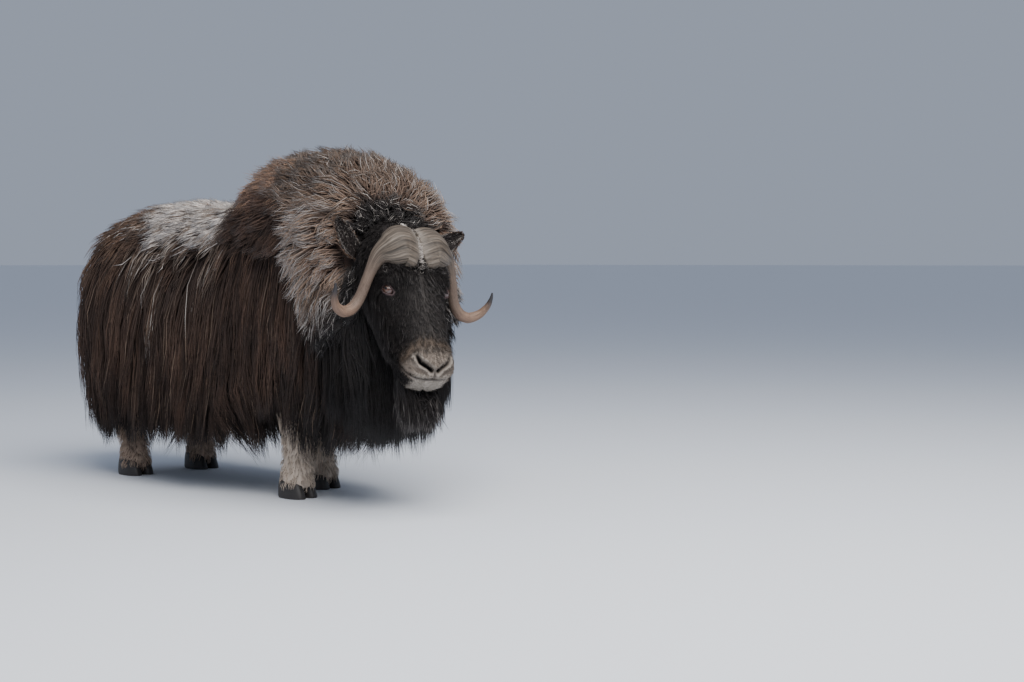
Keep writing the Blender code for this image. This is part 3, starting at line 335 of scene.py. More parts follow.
def torso_rings(count, sides):
    """Rings of the torso skin."""
    rings = []
    t = np.linspace(0, 1, count)
    t = 0.45 * t + 0.55 * (0.5 - 0.5 * np.cos(np.pi * t))
    for x in TORSO_ROWS[0][0] + (TORSO_ROWS[-1][0] - TORSO_ROWS[0][0]) * t:
        top, middle, bottom, half = table_row(TORSO_ROWS, x)
        a, b = squared(2 * np.pi * (np.arange(sides) + 0.5) / sides, TORSO_SQUARENESS)
        z = middle + np.where(b > 0, top - middle, middle - bottom) * b
        rings.append(np.stack([np.full(sides, x), half * a, z], 1))
    return rings


def neck_rings(count, sides):
    """Rings of the neck skin."""
    rings = []
    for x in np.linspace(NECK_ROWS[0][0], NECK_ROWS[-1][0], count):
        y, z, half, up, down = table_row(NECK_ROWS, x)
        share = np.clip((x - 0.3) / 0.585, 0, 1)
        axis = unit(NECK_NORMAL * (1 - share) + NECK_END_AXIS * share)
        side = unit(np.cross((0, 0, 1), axis))
        rise = np.cross(axis, side)
        a, b = squared(2 * np.pi * (np.arange(sides) + 0.5) / sides, 2.15)
        reach = np.where(b > 0, up, down)
        rings.append(np.array((x, y, z)) + np.outer(half * a, side) + np.outer(reach * b, rise))
    return rings


def limb_rings(name, count, sides):
    """Rings of a leg's skin, reaching up into the body."""
    rows = FORELEG_ROWS if name.startswith("fore") else HINDLEG_ROWS
    place = FOOT_PLACES[name]
    rings = []
    for z in np.linspace(rows[0][0], rows[-1][0], count):
        forward, length, width = table_row(rows, z)
        angle = 2 * np.pi * np.arange(sides) / sides
        rings.append(np.stack([place[0] + forward + length * np.cos(angle),
                               place[1] + width * np.sin(angle), np.full(sides, z)], 1))
    return rings


def tail_rings():
    """Rings of the tail's skin."""
    rings = []
    for share, size in ((0.0, 0.5), (0.2, 0.8), (0.5, 0.9), (0.8, 0.6), (0.98, 0.2)):
        angle = 2 * np.pi * np.arange(16) / 16
        centre = TAIL_ROOT + DOWN * 0.2 * share - np.array((0.035 * share + 0.01, 0, 0))
        ring = np.stack([0.024 * size * np.cos(angle), 0.028 * size * np.sin(angle), 0 * angle], 1)
        rings.append(centre + ring)
    return rings


def make_body_skin():
    """One smooth skin over torso, neck, legs and tail."""
    parts = [loft("part", torso_rings(40, 48)), loft("part", neck_rings(24, 40)), loft("part", tail_rings())]
    parts += [loft("part", limb_rings(name, 20, 24)) for name in FOOT_PLACES]
    skin = parts[0]
    skin.name = "skin_body"
    with bpy.context.temp_override(active_object=skin, selected_editable_objects=parts, object=skin):
        bpy.ops.object.join()
    merge = skin.modifiers.new("merge", "REMESH")
    merge.mode = "VOXEL"
    merge.voxel_size = 0.0125
    even = skin.modifiers.new("even", "SMOOTH")
    even.factor = 0.5
    even.iterations = 5
    graph = bpy.context.evaluated_depsgraph_get()
    mesh = bpy.data.meshes.new_from_object(skin.evaluated_get(graph))
    skin.modifiers.clear()
    skin.data = mesh
    mesh.polygons.foreach_set("use_smooth", [True] * len(mesh.polygons))
    return skin


# Head

def eye_frame(side):
    """Centre of an eye and its directions: look, along the lids, across the lids."""
    centre = head_point(EYE_PLACE[0], side * EYE_PLACE[1], EYE_PLACE[2])
    look = unit(HEAD_V * side * 0.86 + HEAD_W * 0.50 - HEAD_U * 0.05)
    slit = unit(HEAD_U * 0.74 + HEAD_W * 0.67)
    slit = unit(slit - look * (slit @ look))
    return centre, look, slit, np.cross(look, slit)


def lid_oval(rel, slit, cross):
    """Size of the oval through places from the eye's centre, 1 at the edge of the lids."""
    return np.sqrt((rel @ slit / LID_HALF_LENGTH) ** 2 + (rel @ cross / LID_HALF_HEIGHT) ** 2)


def segment_distance(p, a, b):
    """Distance of points from a segment and the share along it."""
    a, b = np.asarray(a), np.asarray(b)
    d = b - a
    t = np.clip(((p - a) @ d) / (d @ d), 0, 1)
    return np.linalg.norm(p - (a + t[..., None] * d), axis=-1), t


def mouth_level(u):
    """w of the mouth's line at u."""
    slope = (MOUTH_FRONT[1] - MOUTH_CORNER[1]) / (MOUTH_FRONT[0] - MOUTH_CORNER[0])
    return MOUTH_CORNER[1] + (u - MOUTH_CORNER[0]) * slope


NOSTRIL_LINE = ((0.478, 0.070, 0.058), (0.503, 0.058, 0.054), (0.522, 0.030, 0.056), (0.531, 0.014, 0.048))


def nostril_distance(local):
    """Distance from the comma-shaped slit of the nearer nostril, and the share along it."""
    p = np.stack([local[..., 0], np.abs(local[..., 1]), local[..., 2]], -1)
    best, where = None, None
    for k in range(len(NOSTRIL_LINE) - 1):
        distance, t = segment_distance(p, NOSTRIL_LINE[k], NOSTRIL_LINE[k + 1])
        share = (k + t) / (len(NOSTRIL_LINE) - 1)
        where = share if best is None else np.where(distance < best, share, where)
        best = distance if best is None else np.minimum(distance, best)
    return best, where


# height, place and size of brow, cheekbone, hollow below the eye, jaw, hollow and side of the muzzle, nose
HEAD_FORMS = (
    (0.012, (0.175, 0.120, 0.072), 0.042),
    (0.007, (0.235, 0.128, 0.010), 0.040),
    (-0.010, (0.290, 0.100, 0.045), 0.050),
    (0.010, (0.130, 0.140, -0.070), 0.080),
    (-0.007, (0.405, 0.095, 0.030), 0.040),
    (0.010, (0.492, 0.082, 0.030), 0.034),
    (0.006, (0.500, 0.026, 0.068), 0.022),
)


def head_relief(local):
    """How far the head's skin stands out from its plain sections."""
    u, v, w = local[..., 0], local[..., 1], local[..., 2]
    q = np.abs(v)
    p = np.stack([u, q, w], -1)
    relief = 0.0
    for height, place, size in HEAD_FORMS:
        relief = relief + height * bell(np.linalg.norm(p - place, axis=-1), size)
    distance, share = nostril_distance(local)
    width = 0.0040 + 0.0030 * bell(share - 0.50, 0.33)
    relief += 0.0050 * bell(distance - 0.0150, 0.0070) * smooth_step(0.45, 0.48, u)
    relief -= 0.0270 * bell(distance, width)
    groove = bell(v, 0.0035) * smooth_step(0.515, 0.530, u) * bell(w - 0.038, 0.020)
    relief -= 0.0045 * groove
    level = w - mouth_level(u)
    front = smooth_step(0.370, 0.410, u)
    relief -= 0.0110 * front * bell(level, 0.0042)
    relief += 0.0060 * front * bell(level - 0.015, 0.0090)
    relief += 0.0050 * front * bell(level + 0.014, 0.0090)
    relief += 0.0070 * smooth_step(0.44, 0.52, u) * bell(level + 0.048, 0.028)
    return relief


def head_skin_points(count, sides):
    """High-density rings of the head with its relief, in the head's own coordinates."""
    t = np.linspace(0, 1, count)
    t = 0.55 * t + 0.45 * np.sin(t * np.pi / 2)
    us = HEAD_ROWS[0][0] + (HEAD_ROWS[-1][0] - HEAD_ROWS[0][0]) * t
    angle = 2 * np.pi * (np.arange(sides) + 0.5) / sides
    a, b = squared(angle, HEAD_SQUARENESS)
    table = np.array([table_row(HEAD_ROWS, u) for u in us])
    v = table[:, :1] * a
    w = np.where(b > 0, table[:, 1:2], table[:, 2:3]) * b
    local = np.stack([np.repeat(us[:, None], sides, 1), v, w], -1)
    along = np.gradient(local, axis=0)
    around = np.roll(local, -1, 1) - np.roll(local, 1, 1)
    normal = unit(np.cross(around, along))
    outward = np.sign((normal[..., 1] * local[..., 1] + normal[..., 2] * local[..., 2]).sum())
    normal = normal * outward
    return local, normal


def make_head_skin():
    """The head's skin with brows, lids, nostrils, lips and mouth."""
    count, sides = 240, 220
    rest, normal = head_skin_points(count, sides)
    local = rest + normal * head_relief(rest)[..., None]
    for side in SIDES.values():
        centre, look, slit, cross = eye_frame(side)
        world = head_point(local[..., 0], local[..., 1], local[..., 2])
        rel = world - centre
        a, b, c = rel @ slit, rel @ cross, rel @ look
        near = np.linalg.norm(rel, axis=-1) < 0.075
        oval = lid_oval(rel, slit, cross)
        shell = np.sqrt(np.maximum((EYE_RADIUS + 0.0032) ** 2 - a ** 2 - b ** 2, 0.0))
        lid = shell + 0.0015 * bell(oval - 1.10, 0.16)
        target = np.where(oval > 1.0, lid, shell - 0.016 * smooth_step(0.0, 0.22, 1.0 - oval))
        weight = np.where(near & (c > -0.01), 1 - smooth_step(1.05, 2.0, oval), 0.0)
        fold = 0.0030 * bell(oval - 1.55, 0.12) - 0.0035 * bell(oval - 1.34, 0.10)
        moved = world + look * ((target - c) * weight + fold * near)[..., None]
        local = head_local(moved)
    world = head_point(local[..., 0], local[..., 1], local[..., 2])
    return loft("skin_head", world), rest.reshape(-1, 3)


# Colour rules, shared by skin and coat

BLACK_BROWN = np.array((0.0110, 0.0085, 0.0080))
DARK_BROWN = np.array((0.0330, 0.0215, 0.0175))
RED_BROWN = np.array((0.1150, 0.0680, 0.0480))
TAN = np.array((0.1750, 0.1080, 0.0720))
PALE_TAN = np.array((0.2700, 0.1900, 0.1380))
FROST = np.array((0.5600, 0.5100, 0.4700))
SADDLE = np.array((0.4200, 0.3500, 0.2900))
GREY = np.array((0.1500, 0.1350, 0.1250))
LEG = np.array((0.5800, 0.4800, 0.3900))
HIND_LEG = np.array((0.4600, 0.3450, 0.2650))
MUZZLE = np.array((0.2050, 0.1680, 0.1380))
LIP = np.array((0.4200, 0.3750, 0.3250))
LID = np.array((0.0850, 0.0560, 0.0570))
HORN_BOSS = np.array((0.0880, 0.0690, 0.0530))
HORN_SHAFT = np.array((0.1250, 0.0880, 0.0670))
HORN_HOOK = np.array((0.1850, 0.1180, 0.0830))
HORN_PALE = np.array((0.2300, 0.2000, 0.1700))
HORN_TIP = np.array((0.0350, 0.0330, 0.0360))
EYE_IRIS = np.array((0.0700, 0.0300, 0.0180))
EYE_PUPIL = np.array((0.0040, 0.0035, 0.0040))
EYE_WHITE = np.array((0.0700, 0.0400, 0.0360))


def blend(a, b, share):
    """Mixes two colours."""
    share = np.asarray(share)[..., None]
    return a * (1 - share) + b * share


def face_colour(local):
    """Colour of the head's coat at local coordinates."""
    u, v, w = local[..., 0], local[..., 1], local[..., 2]
    q = np.abs(v)
    colour = np.broadcast_to(BLACK_BROWN, local.shape).copy()
    bridge = bell(q, 0.060) * smooth_step(0.00, 0.06, w) * smooth_step(0.12, 0.20, u)
    colour = blend(colour, GREY, 0.22 * bridge)
    edge = 0.440 + 0.035 * smooth_step(0.05, 0.10, q) + 0.030 * smooth_step(0.02, -0.06, w)
    edge = edge + 0.018 * (noise(local, 0.014, 5) - 0.5)
    fringe = bell(u - edge + 0.006, 0.024) * smooth_step(-0.03, 0.02, w)
    colour = blend(colour, TAN * (0.55, 0.66, 0.74), 0.85 * fringe)
    pale = smooth_step(edge, edge + 0.022, u)
    level = w - mouth_level(u)
    chin = smooth_step(0.470, 0.505, u) * smooth_step(-0.105, -0.080, level) * smooth_step(0.078, 0.058, q)
    pale = np.where(level < -0.01, np.minimum(pale, chin), pale)
    colour = blend(colour, MUZZLE * (0.62 + 0.38 * smooth_step(0.0, 0.055, u - edge))[..., None], pale)
    lips = smooth_step(0.030, 0.010, level) * smooth_step(0.47, 0.52, u)
    lips = lips * smooth_step(0.085, 0.060, q)
    colour = blend(colour, LIP, 0.85 * lips * pale)
    mouth = bell(level + 0.001, 0.0055) * smooth_step(0.42, 0.48, u)
    colour = blend(colour, DARK_BROWN, 0.85 * mouth)
    distance = nostril_distance(local)[0]
    # Dark in and round the nostrils: painted shade of the nostril hollows.
    colour = blend(colour, MUZZLE * 0.40, 0.70 * smooth_step(0.024, 0.011, distance))
    septum = bell(v, 0.014) * smooth_step(0.510, 0.528, u) * bell(w - 0.043, 0.018)
    return blend(colour, DARK_BROWN, 0.60 * septum)


def coat_zone(p):
    """Weights of saddle, rump top, hump and mane on the body, and the distance past the mane's edge."""
    x, y, z = p[..., 0], p[..., 1], p[..., 2]
    ahead = (p - (NECK_PLANE_TOP + NECK_PLANE_LOW) / 2) @ NECK_NORMAL
    ahead = ahead - 0.05 - 0.17 * smooth_step(1.28, 1.05, z) + 0.05 * (noise(p, 0.07, 9) - 0.5)
    wob = noise(p, 0.07, 3) - 0.5
    saddle_low = 1.030 + 0.19 * wob + 0.05 * smooth_step(-0.30, -0.50, x)
    saddle_low = saddle_low + 0.05 * smooth_step(-0.10, 0.08, x)
    saddle = smooth_step(saddle_low - 0.03, saddle_low + 0.08, z) * smooth_step(-0.66, -0.40, x)
    saddle = saddle * smooth_step(0.18, 0.04, x)
    rump = smooth_step(0.98, 1.08, z + 0.06 * wob) * smooth_step(-0.40, -0.58, x)
    hump = smooth_step(1.160, 1.225, z + 0.07 * wob) * smooth_step(0.08, 0.16, x)
    hump = hump * smooth_step(0.02, -0.03, ahead)
    mane = smooth_step(-0.02, 0.02, ahead)
    return saddle, rump, hump, mane, ahead


def head_gap(p):
    """Distance of places from the head's centre line, for the dark hair behind the ears."""
    local = head_local(p)
    return np.sqrt((np.maximum(np.abs(local[..., 0] - 0.1) - 0.1, 0)) ** 2 + local[..., 1] ** 2
                   + (local[..., 2] + 0.05) ** 2)


def body_colour(p):
    """Root colour and tip colour of the hair at places on the body."""
    saddle, rump, hump, mane, ahead = coat_zone(p)
    x, z = p[..., 0], p[..., 2]
    root = np.broadcast_to(DARK_BROWN, p.shape).copy()
    red = 0.25 + 0.75 * smooth_step(0.38, 0.74, noise(p * (1, 1, 0.22), 0.040, 21))
    tip = blend(root, RED_BROWN, red)
    # The lower coat turns black-brown: partly its own dark fur, partly painted shade of the underside.
    low = smooth_step(0.85, 0.55, z)
    root = blend(root, BLACK_BROWN, 0.9 * low)
    tip = blend(tip, BLACK_BROWN, 0.82 * low)
    # The brisket's black-brown is partly its own dark fur, partly painted shade on the chest.
    brisket_fur_and_shade = smooth_step(0.36, 0.50, x) * smooth_step(0.95, 0.75, z)
    root = blend(root, BLACK_BROWN, 0.8 * brisket_fur_and_shade)
    tip = blend(tip, BLACK_BROWN, 0.7 * brisket_fur_and_shade)
    tip = blend(tip, TAN, 0.80 * rump)
    root = blend(root, RED_BROWN, 0.6 * rump)
    root = blend(root, TAN * 0.9, 0.7 * saddle)
    tip = blend(tip, SADDLE * 0.8, 0.95 * saddle)
    root = blend(root, RED_BROWN * 0.8, 0.8 * hump)
    tip = blend(tip, TAN * 1.55, 0.95 * hump)
    upper = smooth_step(0.74, 0.90, z - 0.25 * (x - 0.6))
    around = smooth_step(0.150, 0.195, head_gap(p))
    tan = mane * upper * around
    root = blend(root, RED_BROWN * 0.8, 0.9 * tan)
    crown = smooth_step(1.06, 1.18, z)[..., None]
    crest = crown * smooth_step(0.52, 0.32, x)[..., None]
    tip = blend(tip, PALE_TAN * (1.75 - 1.25 * crown + 0.80 * crest), 0.95 * tan)
    near = np.clip(mane * (1 - around) + mane * (1 - upper), 0, 1)
    root = blend(root, BLACK_BROWN, near)
    tip = blend(tip, BLACK_BROWN * 1.6, near)
    return root, tip


def leg_colour(p):
    """Colour of the short coat on the legs."""
    fore = smooth_step(-0.3, -0.1, p[..., 0])
    colour = blend(np.broadcast_to(HIND_LEG, p.shape), LEG, fore)
    return blend(colour, DARK_BROWN, 0.75 * smooth_step(0.30, 0.46, p[..., 2] + 0.03 * noise(p, 0.03, 8)))


def set_colour(item, colours):
    """Stores one colour for each point of an object."""
    layer = item.data.attributes.new("hair", "FLOAT_COLOR", "POINT")
    full = np.ones((len(colours), 4), np.float32)
    full[:, :3] = colours
    layer.data.foreach_set("color", full.ravel())


def points_of(item):
    """An object's points in the animal's frame."""
    flat = np.empty(len(item.data.vertices) * 3, np.float32)
    item.data.vertices.foreach_get("co", flat)
    return flat.reshape(-1, 3).astype(float) - SHIFT


def tree_of(items):
    """Search tree over skins, in the animal's frame."""
    points, faces, start = [], [], 0
    for item in items:
        points.append(points_of(item))
        for polygon in item.data.polygons:
            faces.append(tuple(start + i for i in polygon.vertices))
        start += len(points[-1])
    return BVHTree.FromPolygons(np.concatenate(points).tolist(), faces)


def triangle_corners(item):
    """Point numbers of an object's triangles."""
    mesh = item.data
    mesh.calc_loop_triangles()
    index = np.empty(len(mesh.loop_triangles) * 3, np.int32)
    mesh.loop_triangles.foreach_get("vertices", index)
    return index.reshape(-1, 3)


# Materials

def new_material(name, surface):
    """A Principled material with the given surface values, its node tree and its shader."""
    material = bpy.data.materials.new(name)
    material.use_nodes = True
    shader = material.node_tree.nodes["Principled BSDF"]
    for key, value in surface.items():
        shader.inputs[key].default_value = value
    return material, material.node_tree, shader


def add_node(tree, kind, inputs=None, **settings):
    """A shader node with its settings and input values."""
    node = tree.nodes.new("ShaderNode" + kind)
    for key, value in settings.items():
        setattr(node, key, value)
    for key, value in (inputs or {}).items():
        node.inputs[key].default_value = value
    return node


def painted_material(name, surface, grain=None, along=False, spread=None, bump=None):
    """The stored colour, varied and raised by a grain that can follow a horn's fibres."""
    material, tree, shader = new_material(name, surface)
    join = tree.links.new
    colour = add_node(tree, "Attribute", attribute_name="hair").outputs["Color"]
    if grain:
        noise_node = add_node(tree, "TexNoise", grain)
        if along:
            place = add_node(tree, "Attribute", attribute_name="along").outputs["Vector"]
        else:
            place = add_node(tree, "NewGeometry").outputs["Position"]
        join(place, noise_node.inputs["Vector"])
    if spread:
        lightness = add_node(tree, "MapRange", spread, clamp=along)
        scaled = add_node(tree, "VectorMath", operation="SCALE")
        join(noise_node.outputs["Fac"], lightness.inputs["Value"])
        join(colour, scaled.inputs[0])
        join(lightness.outputs["Result"], scaled.inputs["Scale"])
        colour = scaled.outputs["Vector"]
    if bump:
        raised = add_node(tree, "Bump", bump)
        join(noise_node.outputs["Fac"], raised.inputs["Height"])
        join(raised.outputs["Normal"], shader.inputs["Normal"])
    join(colour, shader.inputs["Base Color"])
    return material


def hair_material(name, roughness, sheen):
    """Hair: each strand's colour, varied by a fine noise."""
    surface = {"Roughness": roughness, "Specular IOR Level": 0.22, "Sheen Weight": sheen,
               "Sheen Roughness": 0.5}
    return painted_material(name, surface, {"Scale": 60.0, "Detail": 3.0},
                            spread={"To Min": 0.7, "To Max": 1.3})


def skin_material(name, strength, scale):
    """Skin under the coat: its stored colour with a short-fur bump."""
    surface = {"Roughness": 0.75, "Specular IOR Level": 0.2}
    bump = {"Strength": strength, "Distance": 0.004}
    return painted_material(name, surface, {"Scale": scale, "Detail": 4.0}, bump=bump)


coat_material = hair_material("coat", 0.72, 0.04)
wool_material = hair_material("wool", 0.80, 0.08)
short_material = hair_material("short_coat", 0.75, 0.03)
body_material = skin_material("body_skin", 0.6, 90.0)
head_material = skin_material("head_skin", 0.25, 420.0)
horn_material = painted_material("horn_keratin", {"Roughness": 0.55, "Specular IOR Level": 0.3},
                                 {"Scale": 3.0, "Detail": 5.0, "Roughness": 0.65}, along=True,
                                 spread={"From Min": 0.32, "From Max": 0.68, "To Min": 0.55, "To Max": 1.45},
                                 bump={"Strength": 0.5, "Distance": 0.003})
hoof_material = new_material("hoof_keratin", {"Base Color": (0.030, 0.026, 0.024, 1), "Roughness": 0.5})[0]
eye_material = painted_material("eye_wet", {"Roughness": 0.12, "Coat Weight": 0.4, "Coat Roughness": 0.05})


# Horns, ears, eyes and hooves

def horn_table(first, count):
    """The horn's columns at even steps from one of its rows to the last."""
    numbered = tuple((number, *row) for number, row in enumerate(HORN_ROWS))
    return np.array([table_row(numbered, t) for t in np.linspace(first, len(HORN_ROWS) - 1, count)])


def horn_rings(side, count, angle):
    """Rings of a horn with its fibres and growth marks, carried along its curve."""
    table = horn_table(0, count)
    centres = head_point(table[:, 0], side * table[:, 1], table[:, 2])
    ahead = unit(np.gradient(centres, axis=0))
    across = HEAD_U
    c, s, level = np.cos(angle), np.sin(angle), 0 * angle
    rings = []
    for k, share in enumerate(np.linspace(0, 1, count)):
        across = unit(across - ahead[k] * (across @ ahead[k]))
        out = unit(np.cross(ahead[k], across)) * side
        boss = 1 - smooth_step(0.22, 0.42, share)
        fibre = noise(np.stack([level + share * 3.2, c * 4.2, s * 4.2], 1), 0.33, 41)
        fine = noise(np.stack([level + share * 7.0, c * 9.0, s * 9.0], 1), 0.33, 42)
        growth = noise(np.stack([angle * 0.3 + share * 46.0, level, level], 1), 1.0, 43)
        relief = boss * ((fibre - 0.5) * 0.0070 + (fine - 0.5) * 0.0036)
        relief = relief + (0.3 + 0.7 * boss) * (growth - 0.5) * 0.0020
        relief = relief * smooth_step(1.0, 0.85, share)
        wide, deep = table[k, 3] + relief, table[k, 4] + relief
        rings.append(centres[k] + across * (wide * c)[:, None] + out * (deep * s)[:, None])
    return np.array(rings)


def horn_colour(share, c, s, q):
    """Colour of a horn by share of its length, place round it and distance from the head's middle."""
    line = np.stack([share * 2.6, c * 6.0, s * 6.0], 1)
    fibre = noise(line, 0.30, 44)
    fine = noise(line * (1.0, 2.4, 2.4), 0.30, 45)
    strand = noise(line * (0.5, 5.0, 5.0), 0.30, 46)
    boss = 1 - smooth_step(0.25, 0.46, share)
    colour = blend(np.broadcast_to(HORN_SHAFT, (len(share), 3)), HORN_BOSS, boss)
    colour = blend(colour, HORN_HOOK, smooth_step(0.55, 0.68, share))
    shade = 1 + boss * (1.00 * (fibre - 0.5) + 0.9 * (fine - 0.5) + 0.7 * (strand - 0.5))
    shade = shade * (1 + (1 - boss) * (0.35 * (fine - 0.5) + 0.25 * (strand - 0.5)))
    colour = colour * np.clip(shade, 0.30, 2.2)[:, None]
    colour = blend(colour, HORN_PALE, 0.65 * bell(q - 0.006, 0.016) * smooth_step(0.16, 0.10, share))
    colour = blend(colour, HORN_PALE * 0.8, 0.35 * smooth_step(0.62, 0.80, strand) * boss)
    return blend(colour, HORN_TIP, smooth_step(0.80, 0.93, share))


def make_horn(name, side):
    """A horn from the ridged boss by the brow's groove to the smooth dark tip."""
    count, sides = 150, 112
    angle = 2 * np.pi * (np.arange(sides) + 0.5) / sides
    local = head_local(horn_rings(side, count, angle))
    local[..., 1] = side * np.maximum(side * local[..., 1], BOSS_GROOVE * 0.6)
    horn = loft(name, head_point(local[..., 0], local[..., 1], local[..., 2]))
    share = np.repeat(np.linspace(0, 1, count), sides)
    c, s = np.tile(np.cos(angle), count), np.tile(np.sin(angle), count)
    set_colour(horn, horn_colour(share, c, s, np.abs(local[..., 1]).ravel()))
    layer = horn.data.attributes.new("along", "FLOAT_VECTOR", "POINT")
    smoothness = 1 - 0.6 * smooth_step(0.45, 0.60, share)
    fibres = np.stack([share * 5.0, c * 7.0 * smoothness, s * 7.0 * smoothness], 1)
    layer.data.foreach_set("vector", fibres.astype(np.float32).ravel())
    horn.data.materials.append(horn_material)
    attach(horn, "root")
    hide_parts(name)


def ear_line(side_name):
    """Base and tip of an ear."""
    side = SIDES[side_name]
    u, v, w = EAR_TIPS[side_name]
    return head_point(EAR_BASE[0], side * EAR_BASE[1], EAR_BASE[2]), head_point(u, side * v, w)


def make_ear(side_name, columns=41, rows=25):
    """An ear as a closed leaf, cupped toward its opening, with its base and directions."""
    base, tip = ear_line(side_name)
    length = np.linalg.norm(tip - base) * 1.10
    along = unit(tip - base)
    out = HEAD_W * 0.9 + HEAD_U * 0.25 - HEAD_V * SIDES[side_name] * 0.15
    out = unit(out - along * (out @ along))
    wide = np.cross(along, out)
    t = np.linspace(0.0, 1.0, columns)[:, None]
    s = np.linspace(-1.0, 1.0, rows)[None, :]
    half = EAR_HALF_WIDTH * (0.66 + 0.34 * np.sin(np.pi * np.minimum(t * 1.15, 1.0)))
    half = half * np.sqrt(np.clip(1 - np.maximum(t - 0.55, 0) ** 2 / 0.21, 0.0, 1.0)) + 0.002
    cup = 0.024 * (1 - 0.35 * t)
    arc = s * (1 - 0.18 * s * s)
    centre = base + along * (length * t)[..., None] + out * (0.030 * t * t)[..., None]
    middle = centre + wide * (half * arc)[..., None] - out * (cup * (1 - s * s) - 0.4 * cup)[..., None]
    thick = (0.0055 * (1 - 0.5 * t) * np.sqrt(np.clip(1 - s * s, 0.0, 1.0)) + 0.0012)[..., None]
    front, back = middle + out * thick, middle - out * thick
    ear = loft("skin_ear_" + side_name, np.concatenate([front, back[:, ::-1]], 1))
    ear.data.materials.append(head_material)
    set_colour(ear, np.broadcast_to(BLACK_BROWN * 1.8, (len(ear.data.vertices), 3)))
    return ear, front[0].mean(0), out, along, wide


def make_eye(name, side):
    """A glossy eyeball with a level pupil."""
    centre, look, slit, cross = eye_frame(side)
    work = bmesh.new()
    bmesh.ops.create_uvsphere(work, u_segments=64, v_segments=40, radius=EYE_RADIUS)
    turn = Matrix((slit, cross, look)).transposed()
    local = np.array([v.co[:] for v in work.verts])
    a, b, c = local.T / EYE_RADIUS
    bulge = 1 + 0.05 * smooth_step(0.80, 0.97, c)
    for vertex, swell in zip(work.verts, bulge):
        vertex.co = (turn @ vertex.co) * swell + Vector(centre + SHIFT)
    mesh = bpy.data.meshes.new(name)
    work.to_mesh(mesh)
    work.free()
    mesh.polygons.foreach_set("use_smooth", [True] * len(mesh.polygons))
    eye = bpy.data.objects.new(name, mesh)
    bpy.context.scene.collection.objects.link(eye)
    colour = blend(np.broadcast_to(EYE_WHITE, local.shape), EYE_IRIS, smooth_step(0.66, 0.72, c))
    pupil = smooth_step(1.10, 0.90, np.sqrt((a / 0.40) ** 2 + (b / 0.20) ** 2)) * (c > 0)
    colour = blend(colour, EYE_PUPIL, pupil)
    set_colour(eye, blend(colour, EYE_PUPIL, 0.7 * bell(c - 0.69, 0.03)))
    mesh.materials.append(eye_material)
    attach(eye, "root")
    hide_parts(name)


def make_hoof(name, place, side):
    """One claw of a hoof, with a rounded edge and faint growth rings."""
    rings = []
    levels = np.concatenate([[0.0], np.linspace(0.002, HOOF_ROWS[-1][0], 26)])
    across, along = squared(2 * np.pi * np.arange(48) / 48, 2.6)
    inner = side * HOOF_SPLIT * 0.5
    for number, z in enumerate(levels):
        scale = table_row(HOOF_ROWS, z)[0]
        if number > 1:
            scale += 0.006 * math.sin(z * 900.0)
        if number == 0:
            scale *= 0.985
        x = HOOF_LENGTH * 0.5 * scale * across - z * 0.22
        y = HOOF_WIDTH * 0.5 * scale * along + side * (HOOF_WIDTH * 0.5 + HOOF_SPLIT * 0.5)
        y = np.where(side * (y - inner) < 0, inner, y)
        y = inner + (y - inner) * (1.0 - 0.16 * np.maximum(across, 0.0) ** 2)
        rings.append(np.stack([place[0] + 0.010 + x, place[1] + y, np.full(48, z)], 1))
    hoof = loft(name, rings)
    hoof.data.materials.append(hoof_material)
    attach(hoof, "root")
    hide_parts(name)


def colour_skins():
    """Stores the markings on the skins of body and head, with painted shade in the nostrils and on the lower
    body and chest.
    """
    places = points_of(body)
    on_leg = smooth_step(0.44, 0.36, places[:, 2])
    set_colour(body, blend(body_colour(places)[0] * 0.8, leg_colour(places), on_leg))
    u, v, w = head_rest.T
    colour = face_colour(head_rest)
    distance = nostril_distance(head_rest)[0]
    colour = blend(colour, LIP * 0.9, 0.45 * (bell(distance - 0.014, 0.005) * smooth_step(0.45, 0.48, u)))
    # Near-black inside the nostrils: painted shade of the nostril hollows.
    colour = blend(colour, BLACK_BROWN * 0.5, smooth_step(0.0095, 0.0050, distance))
    colour = blend(colour, BLACK_BROWN, bell(w - mouth_level(u), 0.0042) * smooth_step(0.38, 0.42, u))
    septum = bell(v, 0.0050) * smooth_step(0.515, 0.530, u) * bell(w - 0.04, 0.018)
    colour = blend(colour, BLACK_BROWN * 2, 0.8 * septum)
    groove = bell(v, 0.012) * smooth_step(0.17, 0.13, u) * smooth_step(0.03, 0.06, w)
    colour = blend(colour, FROST * 1.1, 0.95 * groove)
    for side in SIDES.values():
        centre, look, slit, cross = eye_frame(side)
        rel = points_of(head) - centre
        near = (np.linalg.norm(rel, axis=1) < 0.05) & (rel @ look > 0)
        lid = bell(lid_oval(rel, slit, cross) - 1.05, 0.24)
        colour = blend(colour, LID, np.where(near, lid, 0.0) * 0.9)
    set_colour(head, colour)


body = make_body_skin()
head, head_rest = make_head_skin()
ears = {side_name: make_ear(side_name) for side_name in SIDES}
for side_name, side in SIDES.items():
    make_horn("horn_" + side_name, side)
    make_eye("eye_" + side_name, side)
for leg, place in FOOT_PLACES.items():
    outer = math.copysign(1.0, place[1])
    make_hoof(leg.replace("leg", "hoof") + "_outer", place, outer)
    make_hoof(leg.replace("leg", "hoof") + "_inner", place, -outer)
colour_skins()
body.data.materials.append(body_material)
head.data.materials.append(head_material)
for side_name in SIDES:
    ear = ears[side_name][0]
    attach(ear, "root")
    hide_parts("ear_" + side_name)
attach(body, "root")
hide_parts("torso", "hindquarters", "neck", "tail", "foreleg_right", "foreleg_left",
            "hindleg_right", "hindleg_left")
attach(head, "root")
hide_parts("head", "lower_jaw")


# How strands grow

def nearest(tree, p):
    """Nearest surface place and normal for many points."""
    near = np.empty_like(p)
    normal = np.empty_like(p)
    for i, q in enumerate(p.tolist()):
        hit = tree.find_nearest(q)
        near[i] = hit[0]
        normal[i] = hit[1]
    return near, normal


